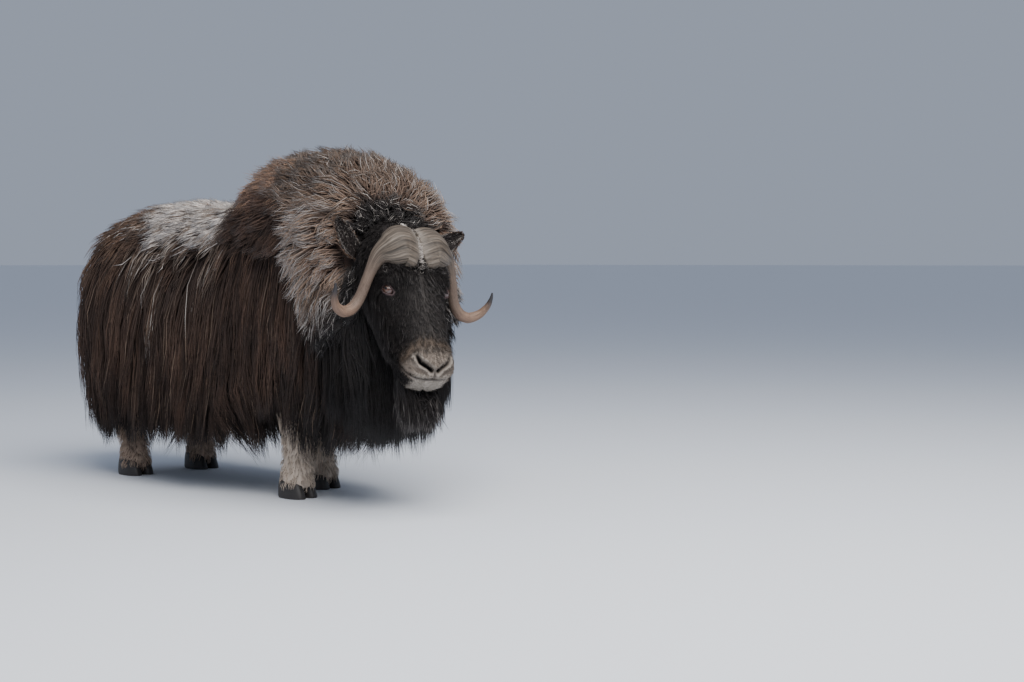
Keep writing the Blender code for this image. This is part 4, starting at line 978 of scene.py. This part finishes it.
def grow(tree, root, normal, lie, length, lift, rings, hang, start_lift):
    """Centre lines, normals and last headings of strands that follow their lie over the skin."""
    lie = unit(lie - normal * np.sum(lie * normal, 1, keepdims=True))
    heading = unit(lie + normal * start_lift)
    place, facing = root, normal
    centres = [root - normal * ROOT_DEPTH]
    normals = [normal]
    for level in range(1, rings + 1):
        share = level / rings
        heading = unit(heading * (1 - hang) + DOWN * hang)
        place = place + heading * (length / rings)[:, None]
        near, slope = nearest(tree, place)
        gap = np.sum((place - near) * slope, 1)
        want = lift * min(1.0, 0.30 + 0.80 * share)
        close = ((gap < want) & (np.linalg.norm(place - near, axis=1) < 0.30))[:, None]
        place = np.where(close, near + slope * want[:, None], place)
        over = ((gap > want * 1.35) & (gap < 0.30) & (np.sum(slope * DOWN, 1) < 0.5))[:, None]
        place = np.where(over, place - slope * ((gap - want * 1.35) * 0.5)[:, None], place)
        facing = np.where(close, slope, facing)
        flattened = heading - slope * np.sum(heading * slope, 1, keepdims=True)
        heading = unit(np.where(close, flattened, heading))
        centres.append(place)
        normals.append(unit(facing))
    return np.stack(centres, 1), np.stack(normals, 1), heading


def gather(centres, root, pull, size, loose):
    """Draws strands toward guide strands near them, so that they hang in locks."""
    guides = max(1, len(root) // size)
    search = KDTree(guides)
    for i in range(guides):
        search.insert(root[i], i)
    search.balance()
    owner = np.array([search.find(q)[1] for q in root.tolist()])
    spot = RNG.normal(0, loose, root.shape)
    rings = centres.shape[1] - 1
    for level in range(1, rings + 1):
        share = (level / rings) ** 1.2
        target = centres[owner, level] + spot * (1 - 0.4 * share)
        centres[:, level] += (target - centres[:, level]) * (pull * share)


def curl(centres, normals, heading, size, waves):
    """Gives each strand its own waves, sideways and outward."""
    phase = RNG.random((len(centres), 2)) * 2 * np.pi
    side = unit(np.cross(normals[:, 0], heading))
    rings = centres.shape[1] - 1
    for level in range(1, rings + 1):
        share = level / rings
        a = size * share ** 0.7 * np.sin(phase[:, 0] + share * waves * 2 * np.pi)
        b = size * 0.7 * share ** 0.7 * np.abs(np.sin(phase[:, 1] + share * waves * 2 * np.pi))
        centres[:, level] += side * a[:, None] + normals[:, level] * b[:, None]


def strand_faces(rings):
    """Triangles of one closed, three-sided strand that ends in a point."""
    faces = [(0, 1, 2)]
    for a in range(0, rings * 3 - 3, 3):
        b = a + 3
        for k in range(3):
            m = (k + 1) % 3
            faces.append((a + k, b + k, b + m))
            faces.append((a + k, b + m, a + m))
    last = rings * 3 - 3
    for k in range(3):
        faces.append((last + k, last + 3, last + (k + 1) % 3))
    return np.array(faces)


def strand_mesh(name, centres, normals, width, colours, tip_from, material, unwrap, taper):
    """One mesh of thin, closed, three-sided strands, each with a small patch of the unwrap."""
    n, rings = centres.shape[0], centres.shape[1] - 1
    along = np.gradient(centres, axis=1)[:, :rings]
    side = unit(np.cross(normals[:, :rings], along))
    out = unit(np.cross(along, side))
    shares = np.interp(np.linspace(0, 1, rings), np.linspace(0, 1, len(taper)), taper)
    half = (width[:, None] * 0.5 * shares)[..., None]
    base = centres[:, :rings]
    ring = np.stack([base + side * half, base + out * half * 2 * STRAND_FLATNESS, base - side * half], 2)
    points = np.concatenate([ring.reshape(n, rings * 3, 3), centres[:, rings:]], 1)
    per = rings * 3 + 1
    faces = strand_faces(rings)
    corners = (faces[None] + (np.arange(n) * per)[:, None, None]).reshape(-1)
    mesh = bpy.data.meshes.new(name)
    mesh.vertices.add(n * per)
    mesh.vertices.foreach_set("co", (points.reshape(-1, 3) + SHIFT).astype(np.float32).ravel())
    mesh.loops.add(len(corners))
    mesh.loops.foreach_set("vertex_index", corners.astype(np.int32))
    mesh.polygons.add(n * len(faces))
    mesh.polygons.foreach_set("loop_start", np.arange(0, len(corners), 3, dtype=np.int32))
    mesh.polygons.foreach_set("use_smooth", np.ones(n * len(faces), bool))
    mesh.update(calc_edges=True)
    piece = bpy.data.objects.new(name, mesh)
    bpy.context.scene.collection.objects.link(piece)
    share = np.concatenate([np.repeat(np.arange(rings) / rings, 3), [1.0]])
    mix = smooth_step(tip_from[:, None], 1.0, share[None])[..., None]
    colour = colours[0][:, None] * (1 - mix) + colours[1][:, None] * mix
    set_colour(piece, np.clip(colour.reshape(-1, 3), 0, 1))
    across = np.concatenate([np.tile((0.0, 0.5, 1.0), rings), [0.5]])
    patch = np.stack([across, share], 1) * PATCH_SIZE - PATCH_SIZE / 2
    uv = (np.clip(unwrap, 0.004, 0.996)[:, None] + patch[None]).reshape(-1, 2)
    mesh.uv_layers.new(name="OFBake").data.foreach_set("uv", uv[corners].astype(np.float32).ravel())
    mesh.materials.append(material)
    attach(piece, "root")


def round_unwrap(q):
    """Longitude and latitude of places about their middle, as shares of a whole turn and a half turn."""
    longitude = np.arctan2(q[:, 1], q[:, 2]) / (2 * np.pi) + 0.5
    latitude = np.arcsin(np.clip(q[:, 0] / np.linalg.norm(q, axis=1), -1, 1)) / np.pi + 0.5
    return np.stack([longitude, latitude], 1)


def body_unwrap(p):
    """Unwraps the body round its long axis."""
    return round_unwrap((p - (-0.15, 0.0, 0.78)) * (0.42, 1.0, 1.0))


def head_unwrap(p):
    """Unwraps the head round the axis from poll to nose."""
    return round_unwrap((head_local(p) - (0.22, 0.0, -0.02)) * (0.55, 1.0, 1.0))


def leg_unwrap(p):
    """Unwraps each leg round its own axis into its quarter of the square."""
    unwrap = np.zeros((len(p), 2))
    for number, (x, y) in enumerate(FOOT_PLACES.values()):
        near = np.hypot(p[:, 0] - x, p[:, 1] - y) < 0.20
        angle = np.arctan2(p[near, 1] - y, p[near, 0] - x) / (2 * np.pi) + 0.5
        unwrap[near] = np.stack([(number + 0.04 + 0.92 * angle) / 4, np.clip(p[near, 2] / 0.5, 0, 1)], 1)
    return unwrap


def vary(colour, amount):
    """Each strand's own lightness."""
    return colour * (1 + RNG.normal(0, amount, (len(colour), 1))).clip(0.3, 2.2)


def tone(p):
    """Lightness that neighbouring strands share, so that locks differ from each other."""
    own = (1 + RNG.normal(0, 0.16, (len(p), 1))).clip(0.5, 1.8)
    return (0.72 + 0.56 * noise(p, 0.030, 61))[:, None] * own


def frosted(chance, pale, plain):
    """Tip colours, pale on a random share of the strands."""
    return np.where((RNG.random(len(plain)) < chance)[:, None], pale, plain)


def body_colours(root, *frosts, gain=1.0):
    """Root and tip colours on the body, with pale tips on the chosen strands, each lock in its own tone."""
    root_colour, tip_colour = body_colour(root)
    tip_colour = tip_colour * gain
    for chosen, pale in frosts:
        tip_colour = np.where(chosen[:, None], pale, tip_colour)
    shade = tone(root)
    return root_colour * shade, tip_colour * shade


def horn_line():
    """Places along both horns with their sizes, for keeping hair clear of them."""
    table = horn_table(1, 40)
    places = [head_point(table[:, 0], side * table[:, 1], table[:, 2]) for side in SIDES.values()]
    size = np.minimum(table[:, 3], table[:, 4] + 0.020) + 0.006
    return np.concatenate(places), np.concatenate([size, size])


def clear_of_head(centres):
    """Which strands stay clear of the horns and of the openings of the ears."""
    free = np.ones(len(centres), bool)
    places, sizes = horn_line()
    halfway = (centres[:, 1:] + centres[:, :-1]) / 2
    points = np.concatenate([centres[:, 1:], halfway], 1)
    close = np.linalg.norm(points - (HEAD_ORIGIN + HEAD_U * 0.1), axis=2).min(1) < 0.45
    for index in np.nonzero(close)[0]:
        gap = np.linalg.norm(points[index][:, None] - places[None], axis=2) - sizes[None]
        free[index] = gap.min() > 0
    for ear, base, out, along, wide in ears.values():
        rel = points - base
        reach = rel @ along
        inside = (reach > -0.01) & (reach < 0.20) & (np.abs(rel @ wide) < 0.062)
        inside &= (rel @ out > -0.035) & (rel @ out < 0.16)
        free &= ~inside.any(1)
    return free


class Ground:
    """A skin that hair grows on, its unwrap, and a search tree of the skins to stay above."""

    def __init__(self, skins, unwrap):
        self.tree = tree_of(skins)
        self.corners = triangle_corners(skins[0])
        self.triangles = points_of(skins[0])[self.corners]
        self.unwrap = unwrap

    def scatter(self, weight, count):
        """Random places by area and weight, with the normals there and the number of places."""
        count = int(count * FEW)
        a, b, c = self.triangles[:, 0], self.triangles[:, 1], self.triangles[:, 2]
        cross = np.cross(b - a, c - a)
        area = np.linalg.norm(cross, axis=1) * weight
        pick = RNG.choice(len(area), count, p=area / area.sum())
        r, s = np.sqrt(RNG.random(count)), RNG.random(count)
        p = (1 - r)[:, None] * a[pick] + (r * (1 - s))[:, None] * b[pick] + (r * s)[:, None] * c[pick]
        return p, unit(cross[pick]), count


def coat(name, ground, root, normal, lie, length, lift, rings, width, colours, material, lock, wave=None,
         hang=0.2, start_lift=0.35, floor=None, spread=None, tip_from=0.35, clear=False, taper=None):
    """Grows a region's strands and splits them into pieces under the triangle limit.

    lock is the pull toward guide strands, the strands for each guide and how far they stay apart;
    wave is the size and number of waves; spread varies root and tip colours from strand to strand.
    """
    centres, normals, heading = grow(ground.tree, root, normal, lie, length, lift, rings, hang, start_lift)
    gather(centres, root, *lock)
    if wave:
        curl(centres, normals, heading, *wave)
    if floor:
        centres[:, :, 2] = np.maximum(centres[:, :, 2], floor)
    if spread:
        colours = [vary(colour, amount) for colour, amount in zip(colours, spread)]
    step = np.linalg.norm(np.diff(centres[:, 1:], axis=1), axis=2).max(1)
    keep = step < 2.3 * np.median(step)
    if clear:
        keep &= clear_of_head(centres)
    kept = np.nonzero(keep)[0]
    order = kept[np.argsort(centres[kept, 0, 0])]
    pieces = math.ceil(len(order) * len(strand_faces(rings)) / PIECE_TRIANGLES)
    unwrap = ground.unwrap(root)
    width, tip_from = np.broadcast_to(width, len(root)), np.broadcast_to(tip_from, len(root))
    for k, part in enumerate(np.array_split(order, pieces)):
        strand_mesh(f"{name}_{k}", centres[part], normals[part], width[part], [c[part] for c in colours],
                    tip_from[part], material, unwrap[part], taper or TAPERS[rings])


def ear_reach(p):
    """Distance of places from the nearer ear's own line."""
    return np.minimum(*(segment_distance(p, *ear_line(side_name))[0] for side_name in SIDES))


def eye_reach(p):
    """Distance from the nearer eye's slit, in units of the lids' own oval."""
    reach = np.full(len(p), 9.0)
    for side in SIDES.values():
        centre, look, slit, cross = eye_frame(side)
        rel = p - centre
        oval = np.sqrt((rel @ slit / LID_HALF_LENGTH) ** 2 + (rel @ cross / LID_HALF_HEIGHT) ** 2
                       + (rel @ look / 0.05) ** 2)
        reach = np.minimum(reach, oval)
    return reach


# The coat's regions

on_body = Ground([body, head], body_unwrap)
on_legs = Ground([body, head], leg_unwrap)
on_head = Ground([head], head_unwrap)
body_middle = on_body.triangles.mean(1)
head_middle = head_rest[on_head.corners].mean(1)
saddle_w, rump_w, hump_w, mane_w, ahead_w = coat_zone(body_middle)
in_head = head_local(body_middle)
buried = (np.abs(in_head[:, 0] - 0.1) < 0.16) & (np.abs(in_head[:, 1]) < 0.12) & (in_head[:, 2] > -0.16)
POLL = head_point(0.06, 0.0, 0.02)


def long_coat():
    """The long, straight guard hair of the flanks and rump."""
    z = body_middle[:, 2]
    weight = smooth_step(0.40, 0.47, z) * smooth_step(0.35, 0.0, mane_w) * (1 - hump_w)
    weight = weight * (1 + 0.9 * smooth_step(0.75, 0.52, z)) * (1 - 0.5 * saddle_w)
    root, normal, n = on_body.scatter(weight, 18500)
    x, y, z = root.T
    saddle, rump = coat_zone(root)[:2]
    top = smooth_step(0.35, 0.85, normal[:, 2])
    outward = np.sign(y + RNG.normal(0, 0.02, n))
    lie = np.stack([-0.10 - 0.5 * top + RNG.normal(0, 0.07, n), outward * top, -1.0 + 0.75 * top], 1)
    lie[:, 0] -= 0.5 * smooth_step(-0.80, -0.98, x) * top
    lie[:, 0] += 0.10 * smooth_step(-0.60, -0.90, x)
    length = (0.40 + 0.20 * RNG.random(n)) * (1 - 0.40 * top) * (1 - 0.3 * rump) * (1 - 0.45 * saddle)
    room = z - (0.105 + 0.130 * RNG.random(n) ** 0.8)
    over_knee = smooth_step(0.16, 0.25, x) * smooth_step(0.44, 0.37, x) * (y < 0)
    room = room - 0.17 * over_knee * smooth_step(0.95, 0.75, z)
    length = np.minimum(length, np.maximum(room, 0.12) * 1.02)
    lift = 0.032 + 0.050 * RNG.random(n) + 0.012 * smooth_step(-0.6, -0.9, x)
    pale = RNG.random(n)
    colours = body_colours(root, (pale < 0.22 * saddle + 0.05 * rump, FROST), (pale > 0.965, PALE_TAN * 0.8))
    coat("coat_long", on_body, root, normal, lie, length, lift, 4, 0.0052, colours, coat_material,
         lock=(0.66, 20, 0.011), wave=(0.013, 1.5), hang=0.30, floor=0.09, tip_from=0.25, clear=True)


def saddle_coat():
    """Paler woolly hair over the back and rump."""
    root, normal, n = on_body.scatter(np.clip(saddle_w + 0.5 * rump_w, 0, 1), 7500)
    y = root[:, 1]
    outward = np.sign(y) * smooth_step(0.0, 0.10, np.abs(y))
    lie = np.stack([-0.8 + RNG.normal(0, 0.25, n), outward * 0.8 + RNG.normal(0, 0.25, n),
                    np.full(n, -0.3)], 1)
    length = 0.09 + 0.08 * RNG.random(n)
    frost = RNG.random(n) < 0.05 + 0.80 * coat_zone(root)[0] ** 1.3
    colours = body_colours(root, (frost, FROST * 1.6))
    lift = 0.045 + 0.03 * RNG.random(n)
    coat("coat_saddle", on_body, root, normal, lie, length, lift, 3, np.where(frost, 0.0056, 0.0055),
         colours, wool_material, lock=(0.60, 12, 0.008), wave=(0.016, 1.5), hang=0.10, start_lift=0.9,
         tip_from=np.where(frost, 0.12, 0.1))


def hump_coat():
    """Thick, curly wool over the hump and the shoulders, crested upward."""
    x, y, z = body_middle.T
    shoulder = 0.30 * smooth_step(1.00, 1.10, z) * smooth_step(0.04, 0.12, x) * (1 - mane_w)
    root, normal, n = on_body.scatter(np.clip(hump_w + shoulder, 0, 1), 9800)
    top = smooth_step(0.2, 0.8, normal[:, 2])
    front = smooth_step(0.02, 0.22, root[:, 0])
    lie = np.stack([-0.7 + RNG.normal(0, 0.45, n), np.sign(root[:, 1]) * 0.35 + RNG.normal(0, 0.45, n),
                    -0.9 + 0.9 * top], 1)
    length = (0.10 + 0.10 * RNG.random(n)) * (0.65 + 0.35 * front)
    saddle, rump, hump, mane, ahead = coat_zone(root)
    frost = RNG.random(n) < (0.06 + 0.34 * bell(ahead, 0.05)) * hump
    colours = body_colours(root, (frost, FROST), gain=(1 + 0.8 * front * top)[:, None])
    lift = (0.060 + 0.060 * RNG.random(n)) * (0.45 + 0.55 * front)
    coat("coat_hump", on_body, root, normal, lie, length, lift, 3, np.where(frost, 0.0040, 0.0055), colours,
         wool_material, lock=(0.78, 18, 0.008), wave=(0.012, 1.6), hang=0.04, start_lift=1.1,
         tip_from=np.where(frost, 0.55, 0.12))


def mane_coat():
    """The woolly ruff that spreads from the poll round the head, tan with frosted tips."""
    weight = mane_w * smooth_step(0.62, 0.80, body_middle[:, 2]) * (1 - buried)
    weight = weight + 0.6 * hump_w * smooth_step(-0.10, 0.0, ahead_w)
    weight = weight * smooth_step(0.030, 0.070, ear_reach(body_middle))
    root, normal, n = on_body.scatter(weight, 16200)
    x, y, z = root.T
    low = smooth_step(1.06, 0.80, z)
    lie = unit(root - POLL) * 0.9 + np.array((-0.30, 0, 0)) + RNG.normal(0, 0.36, (n, 3))
    lie[:, 2] -= 0.65 * smooth_step(1.25, 1.08, z) + 0.45 * low
    gap = head_gap(root)
    clear = smooth_step(0.13, 0.24, gap) * smooth_step(0.05, 0.12, ear_reach(root))
    far = smooth_step(0.02, 0.12, y + 0.068) * smooth_step(1.02, 0.90, z)
    length = (0.040 + 0.060 * clear) + (0.03 + 0.06 * clear) * RNG.random(n) + 0.05 * low * (1 - far)
    crown = smooth_step(1.06, 1.18, z)
    share = (0.22 + 0.42 * bell(gap - 0.24, 0.09)) * smooth_step(0.74, 0.90, z) * (1 - 0.70 * crown)
    share = share * (0.30 + 0.70 * np.maximum(smooth_step(0.165, 0.215, gap), crown))
    frost = RNG.random(n) < share
    colours = body_colours(root, (frost, FROST * 1.2))
    lift = ((0.026 + 0.045 * clear) + (0.02 + 0.042 * clear) * RNG.random(n)) * (1 - 0.5 * far)
    coat("coat_mane", on_body, root, normal, lie, length, lift, 3, np.where(frost, 0.0042, 0.0055), colours,
         wool_material, lock=(0.80, 18, 0.007), wave=(0.013, 1.5), hang=0.06, start_lift=1.0,
         tip_from=np.where(frost, 0.40, 0.12), clear=True)


def chest_coat():
    """Long dark hair of the throat and chest, darker still with painted shade."""
    weight = mane_w * smooth_step(0.88, 0.76, body_middle[:, 2]) * (1 - buried)
    root, normal, n = on_body.scatter(weight, 5200)
    x, y, z = root.T
    lie = np.array((0.12, 0.0, -1.0)) + RNG.normal(0, 0.10, (n, 3))
    length = 0.34 + 0.16 * RNG.random(n)
    room = z - (0.205 + 0.10 * RNG.random(n))
    length = np.minimum(length, np.maximum(room, 0.10) * 1.02)
    # Chest hair below the coat's black-brown: its own dark fur, deepened with painted shade.
    dark = np.broadcast_to(BLACK_BROWN * 0.7, (n, 3))
    tip = blend(dark * 1.4, DARK_BROWN, smooth_step(0.70, 0.60, x))
    shade = tone(root)
    lift = (0.035 + 0.05 * RNG.random(n)) * (1 - 0.6 * smooth_step(0.05, 0.15, y + 0.068))
    coat("coat_chest", on_body, root, normal, lie, length, lift, 4, 0.0058, (dark * shade, tip * shade),
         coat_material, lock=(0.6, 14, 0.010), wave=(0.009, 1.3), hang=0.35, clear=True)


def face_coat():
    """Short hair over the face, longer on the brow and the cheeks."""
    u, v, w = head_middle.T
    eyes = eye_reach(on_head.triangles.mean(1))
    boss = smooth_step(0.15, 0.11, u) * smooth_step(0.05, 0.08, w) * (np.abs(v) < 0.12)
    weight = smooth_step(1.15, 1.7, eyes) * smooth_step(0.475, 0.445, u) * (1 - boss)
    root, normal, n = on_head.scatter(weight, 12500)
    local = head_local(root)
    u, v, w = local.T
    eyes = eye_reach(root)
    side = np.sign(v)[:, None]
    cheek = smooth_step(0.02, -0.06, w) * smooth_step(0.43, 0.33, u)
    lie = HEAD_U * 0.9 + HEAD_V * (side * 0.25) + RNG.normal(0, 0.14, (n, 3))
    lie = lie * (1 - cheek)[:, None] + (DOWN + 0.25 * HEAD_V * side) * cheek[:, None]
    brow = bell(u - 0.155, 0.04) * smooth_step(0.02, 0.06, w)
    length = (0.022 + 0.012 * RNG.random(n)) * (1 + 0.8 * brow)
    length = length + 0.060 * cheek * (0.6 + 0.8 * RNG.random(n))
    length = length * (0.40 + 0.60 * smooth_step(1.3, 2.6, eyes)) * (1 - 0.35 * smooth_step(0.38, 0.46, u))
    lift = 0.005 + 0.010 * RNG.random(n) + 0.022 * cheek + 0.008 * brow
    colour = face_colour(local)
    middle = bell(v - 0.01, 0.07) * smooth_step(0.02, 0.05, w)
    tip = frosted(0.06 + 0.34 * middle, GREY * 1.1, colour * 1.5)
    coat("coat_face", on_head, root, normal, lie, length, lift, 2, 0.0026 + 0.0022 * cheek, (colour, tip),
         short_material, lock=(0.40, 9, 0.003), hang=0.05, start_lift=0.4, spread=(0.25, 0.3), tip_from=0.4)


def brow_coat():
    """Dark upright fur along the lower edge of the horns' bosses, with grey tips."""
    u, v, w = head_middle.T
    weight = bell(u - 0.135, 0.022) * smooth_step(0.145, 0.125, np.abs(v)) * smooth_step(0.03, 0.06, w)
    root, normal, n = on_head.scatter(weight, 1400)
    v = head_local(root)[:, 1]
    lie = HEAD_U * -0.25 + HEAD_V * (np.sign(v) * 0.3)[:, None] + RNG.normal(0, 0.35, (n, 3))
    length = 0.022 + 0.016 * RNG.random(n)
    lift = 0.016 + 0.012 * RNG.random(n)
    colour = np.broadcast_to(BLACK_BROWN, (n, 3))
    tip = frosted(0.12 + 0.5 * bell(v, 0.03), GREY * 1.6, colour * 1.8)
    coat("coat_brow", on_head, root, normal, lie, length, lift, 2, 0.0030, (colour, tip), short_material,
         lock=(0.4, 8, 0.003), hang=0.0, start_lift=1.6, spread=(0.25, 0.3), tip_from=0.4)


def groove_coat():
    """Frosted hair in the groove between the horns' bosses."""
    u, v, w = head_middle.T
    weight = smooth_step(0.012, 0.008, np.abs(v)) * bell(u - 0.075, 0.040) * smooth_step(0.02, 0.05, w)
    root, normal, n = on_head.scatter(weight, 700)
    u, v, w = head_local(root).T
    lie = HEAD_U * 0.9 + HEAD_V * (-v * 30)[:, None] + RNG.normal(0, 0.25, (n, 3))
    lift = 0.016 * smooth_step(0.14, 0.07, u) + 0.006 + 0.010 * RNG.random(n)
    length = 0.020 + 0.016 * RNG.random(n) + lift
    colour = np.broadcast_to(FROST, (n, 3))
    coat("coat_groove", on_head, root, normal, lie, length, lift, 2, 0.0032, (colour * 0.7, colour),
         short_material, lock=(0.4, 8, 0.002), hang=0.0, start_lift=3.0, spread=(0.2, 0.2), tip_from=0.2)


def muzzle_coat():
    """Very short pale hair on the muzzle, lips and chin."""
    u, v, w = head_middle.T
    weight = smooth_step(0.44, 0.47, u) * smooth_step(0.009, 0.013, nostril_distance(head_middle)[0])
    weight = weight * smooth_step(0.004, 0.008, np.abs(w - mouth_level(u)))
    septum = bell(v, 0.012) * smooth_step(0.515, 0.530, u) * bell(w - 0.045, 0.015)
    root, normal, n = on_head.scatter(weight * (1 - septum), 6000)
    local = head_local(root)
    u, v, w = local.T
    lie = HEAD_U * 0.5 + HEAD_V * (np.sign(v) * 0.7)[:, None] + DOWN * 0.5 + RNG.normal(0, 0.15, (n, 3))
    chin = smooth_step(-0.03, -0.07, w - mouth_level(u))
    length = 0.008 + 0.006 * RNG.random(n) + 0.016 * chin * RNG.random(n)
    lift = 0.0025 + 0.002 * RNG.random(n)
    colour = face_colour(local)
    coat("coat_muzzle", on_head, root, normal, lie, length, lift, 2, 0.0018, (colour * 0.9, colour * 1.25),
         short_material, lock=(0.3, 6, 0.002), hang=0.05, start_lift=0.4, spread=(0.14, 0.18))


def beard_coat():
    """The dark beard that hangs from jaw and chin."""
    u, v, w = head_middle.T
    weight = smooth_step(-0.060, -0.090, w - mouth_level(u)) * smooth_step(0.04, 0.12, u)
    root, normal, n = on_head.scatter(weight * smooth_step(0.550, 0.525, u), 4600)
    u, v, w = head_local(root).T
    fore = smooth_step(0.30, 0.50, u)
    lie = DOWN + HEAD_V * (np.sign(v) * 0.12)[:, None] + RNG.normal(0, 0.12, (n, 3))
    length = (0.26 + 0.16 * RNG.random(n)) * (1 - 0.40 * fore)
    room = root[:, 2] - (0.260 + 0.09 * RNG.random(n) + 0.05 * fore)
    length = np.minimum(length, np.maximum(room, 0.06) * 1.03)
    colour = np.broadcast_to(BLACK_BROWN * 1.2, (n, 3))
    tip = frosted(0.10 + 0.14 * fore, GREY * 1.6, colour * 2.2)
    lift = 0.020 + 0.035 * RNG.random(n)
    coat("coat_beard", on_head, root, normal, lie, length, lift, 4, 0.0050, (colour, tip), coat_material,
         lock=(0.55, 12, 0.010), wave=(0.010, 1.5), hang=0.35, spread=(0.25, 0.3), tip_from=0.55,
         taper=TAPERS[3])


def leg_coat():
    """Short pale hair on the legs, longer over the hooves."""
    z = body_middle[:, 2]
    root, normal, n = on_legs.scatter(smooth_step(0.46, 0.40, z) * smooth_step(0.036, 0.046, z), 8500)
    x, y, z = root.T
    hind = smooth_step(-0.2, -0.4, x)
    lie = DOWN + np.array((-0.15, 0, 0)) + RNG.normal(0, 0.12, (n, 3))
    foot = smooth_step(0.12, 0.05, z)
    length = 0.028 + 0.016 * RNG.random(n) + 0.014 * foot + 0.03 * smooth_step(0.25, 0.42, z)
    length = length * (1 + 0.7 * hind * smooth_step(0.08, 0.20, z))
    lift = 0.007 + 0.009 * RNG.random(n) + 0.008 * foot + 0.006 * hind
    colour = leg_colour(root)
    coat("coat_legs", on_legs, root, normal, lie, length, lift, 2, 0.0038, (colour * 0.85, colour * 1.2),
         short_material, lock=(0.5, 9, 0.003), floor=0.004, spread=(0.18, 0.22))


def ear_coat():
    """Short hair on the ears, with a pale fringe at the rim and inside."""
    for side_name, (ear, base, out, along, wide) in ears.items():
        on_ear = Ground([ear], head_unwrap)
        root, normal, n = on_ear.scatter(1.0, 1600)
        front = (normal @ out > 0.2)[:, None]
        rel = root - base
        lie = np.where(front, along * 0.6 + unit(rel) * 0.6, along) + RNG.normal(0, 0.2, (n, 3))
        length = 0.012 + 0.010 * RNG.random(n)
        rim = smooth_step(0.026, 0.040, np.abs(rel @ wide))
        ridge = bell(rel @ wide - 0.010, 0.008) * smooth_step(0.03, 0.06, rel @ along)
        colour = np.where(front, BLACK_BROWN * 1.6, TAN * 0.55)
        colour = blend(colour, np.where(front, GREY * 1.1, TAN * 1.1), 0.8 * rim)
        pale = 0.12 + np.where(front[:, 0], 0.30 * rim + 0.45 * ridge, 0.06)
        tip = frosted(pale, FROST * 0.7, colour * 1.5)
        lift = 0.003 + 0.003 * RNG.random(n)
        coat("coat_ear_" + side_name, on_ear, root, normal, lie, length, lift, 2, 0.0026, (colour, tip),
             short_material, lock=(0.4, 8, 0.002), hang=0.05, start_lift=0.4, spread=(0.25, 0.25),
             taper=(1.0, 0.6))


for region in (long_coat, saddle_coat, hump_coat, mane_coat, chest_coat, face_coat, brow_coat, groove_coat,
               muzzle_coat, beard_coat, leg_coat, ear_coat):
    region()


# Stage, light and camera

def make_floor():
    """A plain pale floor under the animal."""
    mesh = bpy.data.meshes.new("floor")
    reach = 400.0
    corners = [(-reach, -reach, 0), (reach, -reach, 0), (reach, reach, 0), (-reach, reach, 0)]
    mesh.from_pydata(corners, [], [(0, 1, 2, 3)])
    floor = bpy.data.objects.new("floor", mesh)
    bpy.context.scene.collection.objects.link(floor)
    surface = {"Base Color": (0.80, 0.83, 0.88, 1), "Roughness": 0.9}
    mesh.materials.append(new_material("floor_pale", surface)[0])


def make_light():
    """A soft overcast sky with a broad light from above and ahead."""
    world = bpy.data.worlds.new("overcast")
    world.use_nodes = True
    background = world.node_tree.nodes["Background"]
    background.inputs["Color"].default_value = (0.37, 0.42, 0.52, 1)
    background.inputs["Strength"].default_value = 0.85
    bpy.context.scene.world = world
    lamp = bpy.data.lights.new("sky_glow", "AREA")
    lamp.size = 6.0
    lamp.energy = 740.0
    lamp.color = (1.0, 0.98, 0.95)
    holder = bpy.data.objects.new("sky_glow", lamp)
    holder.location = (4.0, -1.2, 5.5)
    holder.rotation_euler = (Vector((0.2, 0.0, 0.9)) - holder.location).to_track_quat("-Z", "Y").to_euler()
    bpy.context.scene.collection.objects.link(holder)


def make_camera():
    """The photo's camera."""
    data = bpy.data.cameras.new("camera")
    data.lens = CAMERA_LENS
    data.sensor_width = 36.0
    data.clip_end = 1000.0
    camera = bpy.data.objects.new("camera", data)
    camera.location = Vector(CAMERA_PLACE) + Vector(SHIFT)
    camera.rotation_euler = (math.radians(90 - CAMERA_DIP), 0.0, math.radians(CAMERA_AZIMUTH))
    bpy.context.scene.collection.objects.link(camera)
    bpy.context.scene.camera = camera


make_floor()
make_light()
make_camera()
